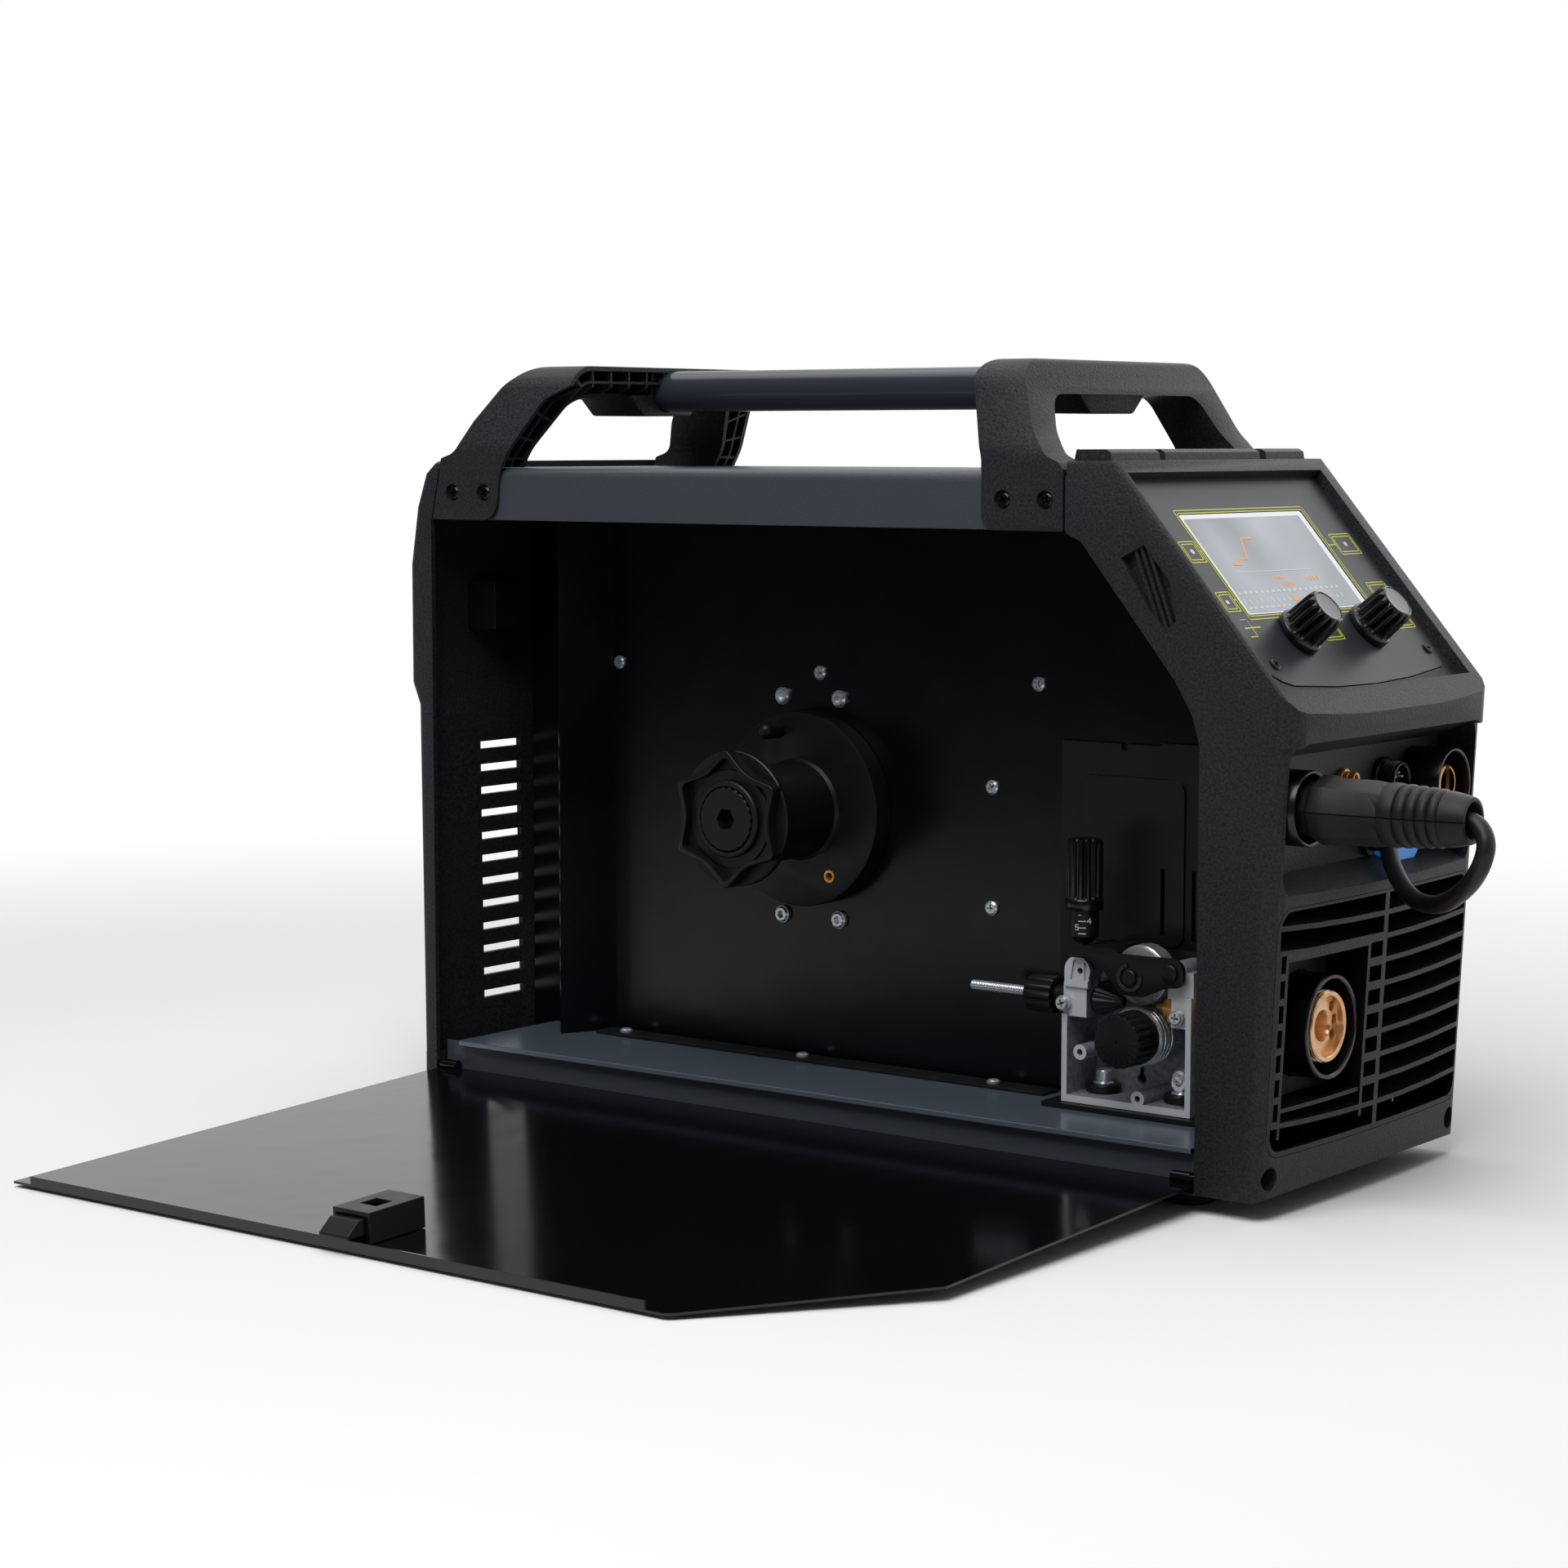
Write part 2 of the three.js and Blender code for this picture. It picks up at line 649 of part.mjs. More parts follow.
function rearBezel() {
  const outline = [
    [rearJoint + 30, caseBottom], [-201.5, caseBottom], [rearFace + 5, 210], [rearFace, 222],
    [rearFace, 285], [rearFace + 5, 316], [rearFace + 11.5, 334], [rearFace + 18.5, 340],
    [rearJoint + 30, 340],
  ];
  const block = prism('y', outline, 0, caseWidth, 4);
  const joinLine = [
    [rearJoint, 0], [rearJoint, stripBottom - 1.5], [rearJoint + rearJointLean, jointTop],
    [rearJoint - 60, 350], [rearJoint - 60, 0],
  ];
  const trimmed = common(block, prism('y', joinLine, -1, caseWidth + 1));
  const hollow = [
    [rearJoint + 40, caseBottom + wall], [-198.7, caseBottom + wall], [rearFace + 8, 211],
    [rearFace + wall, 223.5], [rearFace + wall, 284], [rearFace + 7.7, 314.5], [rearFace + 14, 331.5],
    [rearFace + 20, 336.8], [rearJoint + 40, 337],
  ];
  const cavity = prism('y', hollow, wall, caseWidth - wall);
  const vents = [];
  for (let row = 0; row < 12; row += 1) {
    vents.push(box(-230, -190, 46, 78, 45.5 + row * 12.5, 49.6 + row * 12.5));
  }
  for (let row = 0; row < 6; row += 1) {
    vents.push(box(-230, -190, 92, caseWidth - 14, 96 + row * 14, 103 + row * 14));
  }
  const ports = [
    box(-230, -190, switchY - 9.3, switchY + 9.3, switchZ - 13.3, switchZ + 13.3),
    rod('x', [glandY, rearPortZ], clear(8), -230, -190),
    rod('x', [gasInletY, rearPortZ], clear(4, 10), -230, -190, 10),
  ];
  const hingeBoss = box(rearJoint - 8.5, rearJoint - 0.8, 1, hingeY + 5, hingeZ - 6, hingeZ + 6);
  const hingeHole = rod('x', [hingeY, hingeZ], pinRadius + gap, rearJoint - 7, rearJoint + 5, 20);
  return without(joined(without(trimmed, cavity), hingeBoss), vents, ports, hingeHole);
}

// Arch of a handle bracket, drawn in y,z and inset by the given margin
function archOutline(margin) {
  const far = caseWidth;
  const low = coverTop + gap + margin;
  const top = handleTop - margin;
  const [legTop, shoulder] = [coverTop + 9.3, handleTop - 8.5];
  const beam = beamBottom + margin;
  return [
    [margin, low], [margin, legTop], [13.5 + margin, shoulder], [23 + margin, top],
    [far - 23 - margin, top], [far - 13.5 - margin, shoulder], [far - margin, legTop],
    [far - margin, low], [far - legWidth + margin, low], [far - legWidth + margin, legTop],
    [far - 33 + margin, beam], [33 - margin, beam],
    [legWidth - margin, legTop], [legWidth - margin, low],
  ];
}

// Bracket open on one side (+1 opens forwards, -1 backwards) with a boss for the handle tube
function handleBracket(sideOutline, opens, bossFrom, bossTo) {
  const wide = 2.5;
  const arch = common(prism('x', archOutline(0), -230, 260), prism('y', sideOutline, -1, caseWidth + 1));
  const shifted = sideOutline.map(([x, z]) => [x + opens * wide, z]);
  const reach = sideOutline.map(([x, z]) => [x + opens * (wide + 25), z]);
  const pocketSide = joined(prism('y', shifted, 0, caseWidth), prism('y', reach, 0, caseWidth));
  const pocket = common(prism('x', archOutline(wide), -230, 260), pocketSide);
  const ribZ = coverTop + 19.3;
  const ribs = [box(-230, 260, 0, caseWidth, ribZ, ribZ + 1.8)];
  for (let y = 44; y < caseWidth - 30; y += 20) {
    ribs.push(box(-230, 260, y, y + 1.8, beamBottom, handleTop));
  }
  const ribbed = ribs.map((rib) => common(arch, rib));
  const bossRadius = tubeRadius + 2.6;
  const half = caseWidth / 2;
  const bossBlock = joined(
    rod('x', [half, tubeZ], bossRadius, -230, 260, 24),
    box(-230, 260, half - bossRadius, half + bossRadius, tubeZ, handleTop + 5),
  );
  const bossSpan = box(bossFrom, bossTo, 0, caseWidth, coverTop + 13.3, beamBottom + 1);
  const boss = common(bossBlock, joined(arch, bossSpan));
  const bore = rod('x', [caseWidth / 2, tubeZ], tubeRadius + gap, tubeRear - gap, tubeFront + gap, 24);
  const flanks = [[0, coverInset - gap], [caseWidth - coverInset + gap, caseWidth]];
  const feet = flanks.map(([from, to]) => common(
    prism('y', sideOutline, from, to),
    box(-230, 260, -1, caseWidth + 1, stripBottom - 1, coverTop + 4)));
  return without(joined(without(arch, pocket), ribbed, boss, feet), bore);
}

// Side views of the brackets
const frontSide = [
  [160.7, bracketBottom], [206, bracketBottom], [206, coverTop - 1.7], [203, coverTop + 2.3],
  [194, coverTop + 11.3], [177, handleTop - 13.5], [172, handleTop], [148, handleTop],
  [146.5, handleTop - 4.5], [160.7, coverTop + 6.3],
];
const rearSide = [
  [-191.3, bracketBottom], [-144, bracketBottom], [-144, coverTop - 2.7], [-133, coverTop + 15.3],
  [-121, handleTop - 17.5], [-105, handleTop - 11.5], [-105, handleTop], [-135, handleTop],
  [-150, handleTop - 9.5], [-166, handleTop - 27.5], [-184.4, coverTop + 5.3],
];

function handleTube() {
  return rod('x', [caseWidth / 2, tubeZ], tubeRadius, tubeRear, tubeFront, 24);
}

function foot(x, y) {
  return turned('z', [x, y], [[12, 0], [13, 1], [14, caseBottom - gap]], 18);
}

function sealStrip() {
  return box(-134, 156, 64, 78, floorTop + gap, floorTop + 1.8);
}

// Spindle and its plate, bolted behind the wall
function hubSupport() {
  const outline = roundedRectangle(-32, hubZ - 68, 32, hubZ + 68, 8);
  const plate = prism('y', outline, bulkheadY + sheet + gap, bulkheadY + 5);
  return joined(plate, rod('y', [0, hubZ], spindleRadius, 24, bulkheadY + 4, 24));
}

function spoolHub() {
  const bore = spindleRadius + runningGap;
  const body = turned('y', [0, hubZ], [
    [hubRadius - 1, hubEnd], [hubRadius, hubEnd + 1],
    [hubRadius, flangeFace - 1.5], [hubRadius + 1.5, flangeFace],
    [flangeRadius - 1, flangeFace], [flangeRadius, flangeFace + 1], [flangeRadius, bulkheadY - 0.6],
    [flangeRadius - 3, bulkheadY - 0.6], [flangeRadius - 3, flangeFace + 4], [hubRadius, flangeFace + 4],
    [hubRadius, bulkheadY - 0.6],
  ], 28);
  const cuts = [
    rod('y', [0, hubZ], bore, 0, 100, 24),
    rod('y', [0, hubZ], adjusterRadius + 3, hubEnd - 1, hubEnd + 6, 24),
    rod('y', [20.6, hubZ - 33.4], 3.2, flangeFace - 1, flangeFace + 6, 12),
  ];
  const pin = turned('y', [-12.5, hubZ + 40.8], [
    [2.5, flangeFace - 14], [4, flangeFace - 12.5], [4.5, flangeFace - 10.5], [4.5, flangeFace + 1]], 20);
  return joined(without(body, cuts), pin);
}

// Six-pointed nut with hollowed flanks, a rim round its face and a round flange behind
function spoolNut() {
  const starOutline = (inset) => {
    const points = [];
    for (let i = 0; i < 36; i += 1) {
      const turn = (i * Math.PI) / 18;
      const radius = nutTip - 4.2 + 4.2 * Math.cos(6 * turn) - inset;
      points.push([-radius * Math.sin(turn), hubZ + radius * Math.cos(turn)]);
    }
    return points;
  };
  const starPart = without(
    prism('y', starOutline(0), nutFace, nutFace + 7),
    prism('y', starOutline(3), nutFace - 1, nutFace + 2.5));
  const ring = rod('y', [0, hubZ], 19.5, nutFace + 1, hubEnd - gap, 24);
  const flange = rod('y', [0, hubZ], nutTip, nutFace + 7, hubEnd - gap, 24);
  const bore = rod('y', [0, hubZ], adjusterRadius + runningGap, 0, 40, 24);
  return without(joined(starPart, ring, flange), bore);
}

// Toothed adjuster of the hub's brake, with a hexagon hole for the key
function brakeAdjuster() {
  const teeth = 24;
  const outline = [];
  for (let i = 0; i < teeth * 2; i += 1) {
    const angle = (i * Math.PI) / teeth;
    const radius = adjusterRadius - (i % 2 ? 1 : 0);
    outline.push([radius * Math.cos(angle), hubZ + radius * Math.sin(angle)]);
  }
  const head = prism('y', outline, nutFace + 0.5, hubEnd);
  const collar = rod('y', [0, hubZ], adjusterRadius - 1.5, hubEnd - 1, 24 - gap, 24);
  const hexagon = new THREE.CylinderGeometry(5.8, 5.8, 8, 6);
  hexagon.translate(0, nutFace + 2, 0);
  return without(joined(head, collar), solidOf(stand(hexagon, 'y', [0, hubZ])));
}

// Cast housing of the feed unit: an open box facing the door
function feederHousing() {
  const skin = 3;
  const front = feederFront;
  const back = feederBack;
  const shell = [
    box(feederLeft, feederRight, back - skin, back, feederBottom, 100),
    box(feederLeft, feederLeft + skin, front, back, feederBottom, 76),
    box(feederRight - skin, feederRight, front, back, feederBottom, 90),
    box(feederLeft, feederRight, front, back, feederBottom, feederBottom + skin + 0.5),
  ];
  const inletBlock = box(feederLeft, feederLeft + 13, wireY - 8.5, back, wireZ - 8, wireZ + 8);
  const outletBlock = box(237, feederRight, wireY - 8, back, wireZ - 8, wireZ + 8);
  const lobeSpans = [[tensionY - 6, tensionY - 3.2], [tensionY + 3.2, tensionY + 6]];
  const lobes = lobeSpans.map(([from, to]) => joined(
    rod('y', [tensionX, tensionZ], 7.2, from, to, 24),
    box(tensionX - 7.2, tensionX + 6, from, to, 89, tensionZ)));
  const pivotPost = joined(
    box(armPivotX - 5, feederRight, 50, 66, 88.6, armPivotZ),
    rod('y', [armPivotX, armPivotZ], 5, 50, 66, 24));
  const bossPlaces = [[187.4, 57.9], [220, 38.9], [242.5, 49]];
  const bosses = bossPlaces.map((place) => rod('y', place, 3.8, front, back, 12));
  const bossHoles = bossPlaces.map((place) => rod('y', place, 1.7, front - 1, front + 8, 6));
  const cuts = [
    rod('x', [wireY, wireZ], clear(5), feederLeft - 1, feederLeft + 14),
    rod('x', [wireY, wireZ], clear(4), 236, feederRight + 1),
    rod('y', [driveX, driveZ], 12, back - 5, back + 1, 24),
    rod('y', [armPivotX, armPivotZ], clear(2.7, 16), 40, 90, 16),
    rod('y', [206, 43], 2.5, back - 5, back + 1, 12),
    box(204.9, 207.1, back - 5, back + 1, 43, 49),
    rod('y', [pressX, pressZ], rollRadius + 2, rollFront - 20, back - skin - gap, 24),
    rod('y', [driveX, driveZ], rollRadius + 1.5, 40, back - skin - 4, 24),
  ];
  return without(joined(shell, inletBlock, outletBlock, lobes, pivotPost, bosses), cuts, bossHoles);
}

function feederBasePlate() {
  return box(168, 256, 44, 80, floorTop + gap, feederBottom - gap);
}

// Insulating collar under the head of a bolt that holds the feed unit down
function isolatingWasher(x, y) {
  const low = feederBottom + 3.5 + gap;
  const collar = rod('z', [x, y], 8.5, low, low + 4, 24);
  return without(collar, rod('z', [x, y], 3.2, low - 1, low + 6, 20));
}

// Gearbox on the power side, with its motor lying along y
function gearMotor() {
  const start = bulkheadY + sheet + gap;
  const gearbox = box(193, 240, start, 112, 44, 92);
  const boss = rod('y', [driveX, driveZ], 20, feederBack + gap, start + 1, 24);
  const end = caseWidth - 17;
  const motor = turned('y', [driveX, 68], [[26, 111], [26, end - 5], [22, end - 2], [22, end]], 24);
  return without(joined(gearbox, boss, motor), rod('y', [driveX, driveZ], clear(5, 20), 70, 100));
}

// Grooved roll on its shaft
function driveRoll() {
  const groove = 1;
  return turned('y', [driveX, driveZ], [
    [5, 37], [5, rollFront], [rollRadius - 1, rollFront], [rollRadius, rollFront + 1],
    [rollRadius, wireY - 1], [rollRadius - groove, wireY], [rollRadius, wireY + 1],
    [rollRadius, rollBack - 1], [rollRadius - 1, rollBack], [8, rollBack], [8, 70], [5, 70], [5, 98],
  ], 24);
}

// Cap with grooves along its side and a bore open at its far end
function flutedCap(radius, flutes, from, to, boreRadius, centre, axis) {
  const body = rod(axis, centre, radius, from, to, 24);
  const grooves = [];
  for (let i = 0; i < flutes; i += 1) {
    const angle = (i * 2 * Math.PI) / flutes;
    const reach = radius + 0.5;
    const place = [centre[0] + reach * Math.cos(angle), centre[1] + reach * Math.sin(angle)];
    grooves.push(rod(axis, place, 1.2, from - 1, to + 1, 6));
  }
  return without(body, grooves, rod(axis, centre, boreRadius, from + 2, to + 1, 24));
}

function driveRollCap() {
  return flutedCap(13, 20, 34.5, rollFront - gap, 5 + gap, [driveX, driveZ], 'y');
}

// Pressure arm: two plates joined by a web over the roll, with the roll's pin between them
function pressureArm() {
  const outline = [
    [184, 106.4], [190, 110.2], [209, 110.5], [214, 108.6], [242, 108.3], [247.5, 104.5], [246, 98],
    [240, 95], [223, 89.7], [215, 89.7], [203, 99.4], [193, 104.5], [184, 104.5],
  ];
  const front = [43.5, 46.5];
  const back = [68.5, 71.5];
  const plates = [front, back].map(([from, to]) => prism('y', outline, from, to));
  const webOutline = [[184, 107.5], [190, 110.2], [206, 110.3], [206, 107.8], [190, 107.5], [186, 106.5]];
  const web = prism('y', webOutline, 45, 70);
  const pin = rod('y', [pressX, pressZ], 3, 41.5, 73, 24);
  const slot = box(180, tensionX + 4, tensionY - 3.4, tensionY + 3.4, 100, 115);
  const pivotHole = rod('y', [armPivotX, armPivotZ], clear(2.7, 16), 40, 80, 16);
  return without(joined(plates, web, pin), slot, pivotHole);
}

function armPivotPin() {
  return turned('y', [armPivotX, armPivotZ], [
    [4.4, 41.3], [4.4, 43.2], [2.7, 43.2], [2.7, 71.8], [4.4, 71.8], [4.4, 73]], 16);
}

function pressureRoll() {
  const centre = [pressX, pressZ];
  const ring = turned('y', centre, [
    [rollRadius - 2, rollFront + 0.5], [rollRadius - 0.3, rollFront + 1.5],
    [rollRadius - 0.3, rollBack - 1.5], [rollRadius - 2, rollBack - 0.5],
  ], 24);
  return without(ring, rod('y', centre, clear(3, 20, runningGap), 40, 80));
}

// Stud of the wire tensioner, which swings on a pin in the housing's left lobes
function tensionColumn() {
  const stem = rod('z', [tensionX, tensionY], 2.4, tensionZ, 157, 16);
  const eye = rod('y', [tensionX, tensionZ], 4.2, tensionY - 2.8, tensionY + 2.8, 20);
  return joined(stem, eye);
}

// Scale sleeve that rests on the arm and rises into the knob's skirt when the arm lifts
function tensionSleeve() {
  const body = turned('z', [tensionX, tensionY], [
    [4, sleeveBottom], [7, sleeveBottom + 3], [7, 133]], 24);
  return without(body, rod('z', [tensionX, tensionY], clear(2.4, 16), 100, 140, 16));
}

function tensionKnob() {
  const centre = [tensionX, tensionY];
  const grip = flutedCap(8.75, 14, -161, -131.5, 2, centre, 'z');
  const fluted = moved(grip, new THREE.Matrix4().makeScale(1, 1, -1));
  const collar = rod('z', centre, 9.2, 126.7, 132, 24);
  const skirtBore = rod('z', centre, clear(7, 24), 120, 142, 24);
  const studBore = rod('z', centre, clear(2.4, 16), 120, 157.5, 16);
  const plug = rod('z', centre, 6, 141, 160, 16);
  return without(joined(fluted, collar, plug), skirtBore, studBore);
}

// Ribbed nut, neck through the housing and cone that leads the wire to the rolls
function inletGuide() {
  const guide = turned('x', [wireY, wireZ], [
    [8.2, 153], [9, 154], [9, 168.5], [5, 168.5], [5, 192.5], [7.5, 192.5], [7.5, 194], [1.8, 206],
  ], 24);
  const ribs = [];
  for (let i = 0; i < 12; i += 1) {
    const angle = (i * 2 * Math.PI) / 12;
    const place = [wireY + 9.4 * Math.cos(angle), wireZ + 9.4 * Math.sin(angle)];
    ribs.push(rod('x', place, 1.2, 152, 169, 6));
  }
  const tubeSeat = rod('x', [wireY, wireZ], clear(2.5, 16), 150, 172, 16);
  const wireWay = rod('x', [wireY, wireZ], 1, 150, 210, 8);
  return without(guide, ribs, tubeSeat, wireWay);
}

function inletTube() {
  return without(
    rod('x', [wireY, wireZ], 2.5, 118, 171.5, 20), rod('x', [wireY, wireZ], 1, 110, 180, 12));
}

// Brass liner clamp on the outlet side, with its thin tube towards the rolls
function outletGuide() {
  const body = turned('x', [wireY, wireZ], [
    [1.6, 225], [1.6, 230], [5, 230], [5, 236.7], [4, 236.7], [4, 249.5],
  ], 24);
  return without(body, rod('x', [wireY, wireZ], 0.9, 220, 260, 12));
}

// Plastic cover on the wall behind the feed unit
function backingCover() {
  const back = bulkheadY - gap;
  const low = feederBottom;
  const plate = prism('y', [
    [155, low], [cheekEdge - 3, low], [cheekEdge - 3, 206.5], [212, 206.5], [212, 205], [192.5, 205],
    [192.5, 202], [189.5, 202], [189.5, 205], [155, 205],
  ], 79.9, back);
  const raised = prism('y', roundedRectangle(167, 108, 226, 189, 6.5), 78.4, back);
  const slots = [
    box(213.2, 215.2, 70, 90, 113, 145.6),
    box(229.7, 231.7, 70, 90, 111.5, 145.3),
  ];
  return without(joined(plate, raised), slots, rod('y', [driveX, driveZ], 20 + 2 * gap, 70, 90, 24));
}

const shroudFace = 318;

function euroShroud() {
  const body = turned('x', [wireY, wireZ], [
    [29, 292], [29, 297 - gap], [shroudRadius, 297 - gap], [shroudRadius, shroudFace - 0.6],
    [shroudRadius - 0.6, shroudFace]], 24);
  return without(body,
    rod('x', [wireY, wireZ], shroudRadius - 3.2, 298, shroudFace + 1, 24),
    rod('x', [wireY, wireZ], clear(brassRadius, 24), 280, 330, 24));
}

// Brass body of the torch connector, from the feed unit's outlet to the front
function euroAdaptor() {
  const face = shroudFace - 1.5;
  const body = turned('x', [wireY, wireZ], [
    [7, 250], [7, 262], [brassRadius + 3, 262], [brassRadius + 3, 291.5], [brassRadius, 291.5],
    [brassRadius, 304], [brassRadius - 1.2, 305], [brassRadius - 1.2, 307], [brassRadius, 308],
    [brassRadius, face - 0.8], [brassRadius - 0.8, face],
  ], 24);
  const at = (across, up) => [wireY + across, wireZ + up];
  return without(body,
    rod('x', at(0, 0), brassRadius - 2.8, face - 3.6, face + 1, 24),
    rod('x', at(0, 0), 6.4, 275, face, 24),
    rod('x', at(0, 0), 1.6, 240, 280, 12),
    rod('x', at(9.2, -5.2), 2.6, 300, face, 12),
    rod('x', at(8.3, 8.2), 2.4, 300, face, 12),
    rod('x', at(11, 1.8), 2.4, 300, face, 12));
}

// Insulated barrel of a current socket, with its stud through the panel
function currentSocket(y) {
  const end = socketPanelX + socketLength;
  const body = turned('x', [y, socketZ], [
    [11, 288], [11, socketPanelX], [socketRadius, socketPanelX], [socketRadius, end - 0.8],
    [socketRadius - 0.8, end],
  ], 24);
  return without(body,
    rod('x', [y, socketZ], 13.4, 312, end + 1, 24),
    rod('x', [y, socketZ], contactRadius + gap, 305.3, 320, 24),
    rod('x', [y, socketZ], 5, 280, 310, 24));
}

// Brass sleeve in a socket, with the slot for the plug's locking pin
function socketContact(y, end) {
  const body = rod('x', [y, socketZ], contactRadius, 305.6, end, 24);
  return without(body, rod('x', [y, socketZ], contactBore, 308, 330, 24),
    box(311, 330, y - 1.8, y + 1.8, socketZ - 12, socketZ));
}

function controlSocket() {
  const centre = controlSocketCentre;
  return without(
    turned('x', centre, [
      [8, 291], [8, socketPanelX], [11, socketPanelX], [11, 305.5], [9.3, 305.5], [9.3, 313],
      [8.6, 313.8],
    ], 20),
    rod('x', centre, 7.2, 307, 320, 24));
}

function gasOutlet() {
  const centre = [92, 194];
  return without(
    turned('x', centre, [
      [4, 290], [4, socketPanelX], [6.5, socketPanelX], [6.5, 305.5], [4.6, 305.5], [4.6, 311],
      [3.8, 312],
    ], 24),
    rod('x', centre, 2.2, 300, 320, 12));
}

const cableRadius = 4.3;
const cableStart = new THREE.Vector3(396.5, leftSocketY, socketZ);
const cableExit = new THREE.Vector3(socketPanelX + 3 + gap, 117, 162);

// Moulded plug: a faceted grip, a ribbed sleeve and the pin in the socket's contact
function plugBody() {
  const centre = [leftSocketY, socketZ];
  const grip = turned('x', centre, [
    [12.5, 316.4], [12.5, 327], [15.6, 329], [15.2, 362], [13.9, 364.5]], 8);
  const sleeve = [[14.2, 362]];
  for (let i = 0; i < 6; i += 1) {
    const x = 364.5 + i * 6;
    const radius = 14.6 - i * 0.55;
    sleeve.push([radius, x], [radius, x + 4.4], [radius - 0.9, x + 5]);
  }
  sleeve.push([11, 401], [10.4, 403.5]);
  const pin = rod('x', centre, contactBore - 0.4, 309, 317, 24);
  return without(
    joined(grip, turned('x', centre, sleeve, 14), pin),
    rod('x', centre, cableRadius + 2.6, cableStart.x - gap, 410, 24));
}

// Polarity lead, from inside the plug's sleeve down and back to the collar on the socket panel
const cableRoute = [
  [396.5, 24, 187], [400.5, 24, 187], [404.8, 23.8, 185.6], [408.7, 22.6, 181.9],
  [410.8, 21, 177], [409.6, 20.6, 170.2], [403.4, 25, 161.6], [392.2, 35, 153.4],
  [381.8, 44.6, 147.9], [371.1, 54.6, 144.4], [361, 64.3, 142.9], [351, 73.9, 142.7],
  [341.5, 83, 145], [333.5, 91.5, 148.4], [326.5, 99.5, 152.6], [320.5, 107, 156.8],
  [315.6, 114, 160.6], [310.6, 117, 162], [306, 117, 162],
];

function polarityCable() {
  const points = cableRoute.map(([x, y, z]) => new THREE.Vector3(x, y, z));
  points[0].copy(cableStart);
  points[points.length - 1].copy(cableExit);
  const path = new THREE.CatmullRomCurve3(points, false, 'centripetal');
  const section = new THREE.Shape().absarc(0, 0, cableRadius, 0, 2 * Math.PI);
  const settings = { steps: 44, bevelEnabled: false, extrudePath: path, curveSegments: 5 };
  return solidOf(new THREE.ExtrudeGeometry(section, settings));
}

const fanY = caseWidth - 56;
const fanZ = 136;
const fanFront = -172;
const fanRear = -196;

function fanFrame() {
  const body = without(
    prism('x', roundedRectangle(fanY - 46, fanZ - 46, fanY + 46, fanZ + 46, 5), fanRear, fanFront),
    rod('x', [fanY, fanZ], 44, fanRear - 1, fanFront + 1, 24));
  const arms = [
    box(fanRear, fanRear + 3, fanY - 46, fanY + 46, fanZ - 2, fanZ + 2),
    box(fanRear, fanRear + 3, fanY - 2, fanY + 2, fanZ - 46, fanZ + 46),
  ];
  const seat = rod('x', [fanY, fanZ], 17, fanRear, fanRear + 3, 24);
  const stayBottom = caseBottom + sheet + gap;
  const stay = box(rearJoint + 1, fanFront, fanY - 8, fanY + 3, stayBottom, fanZ - 45);
  const shaftHole = rod('x', [fanY, fanZ], 2.3, fanRear - 1, fanRear + 4, 12);
  return without(joined(body, arms, seat, stay), shaftHole);
}

function fanRotor() {
  const start = fanRear + 3 + runningGap;
  const hub = rod('x', [fanY, fanZ], 18, start, fanFront - 2, 24);
  const shaft = rod('x', [fanY, fanZ], 2, fanRear + 0.5, start + 1, 12);
  const blades = [];
  for (let i = 0; i < 7; i += 1) {
    const section = [[start + 1, -9], [start + 4, -9], [fanFront - 3, 8], [fanFront - 6, 8]];
    const blade = prism('z', section, 15, 42);
    const turn = new THREE.Matrix4().makeRotationX((i * 2 * Math.PI) / 7).setPosition(0, fanY, fanZ);
    blades.push(moved(blade, turn));
  }
  return joined(hub, shaft, blades);
}

const switchY = 52;
const switchZ = 262;
const rockerTilt = 8 * Math.PI / 180;
const glandY = caseWidth - 40;
const gasInletY = caseWidth - 72;
const rearPortZ = 55;

function mainsSwitch() {
  return without(
    joined(box(rearFace - 2.8, rearFace - gap, switchY - 15, switchY + 15, switchZ - 17, switchZ + 17),
      box(rearFace - 1, -186, switchY - 9, switchY + 9, switchZ - 13, switchZ + 13)),
    box(-230, rearFace + 9, switchY - 6.4, switchY + 6.4, switchZ - 10.5, switchZ + 10.5));
}

// Rocker drawn about its own pivot
function switchRocker() {
  const side = [[0, -9], [-6, -9.5], [-4.6, 0], [-6, 9.5], [0, 9], [3.5, 0]];
  return prism('y', side, switchY - 5.6, switchY + 5.6);
}

function mainsGland() {
  const face = -202.2;
  return without(
    turned('x', [glandY, rearPortZ], [
      [7, -222], [9, -220], [9.5, face - 8], [12, face - 8], [12, face - gap], [8, face - gap],
      [8, -190],
    ], 24),
    rod('x', [glandY, rearPortZ], 4.5, -230, -180, 20));
}

function gasInlet() {
  const face = -202.2;
  return without(
    turned('x', [gasInletY, rearPortZ], [
      [3, -226], [4, -222], [3.2, -221], [4, -217], [3.2, -216], [4, -212], [6.5, -209], [6.5, face - gap],
      [4, face - gap], [4, -192]], 10),
    rod('x', [gasInletY, rearPortZ], 1.8, -230, -180, 12));
}

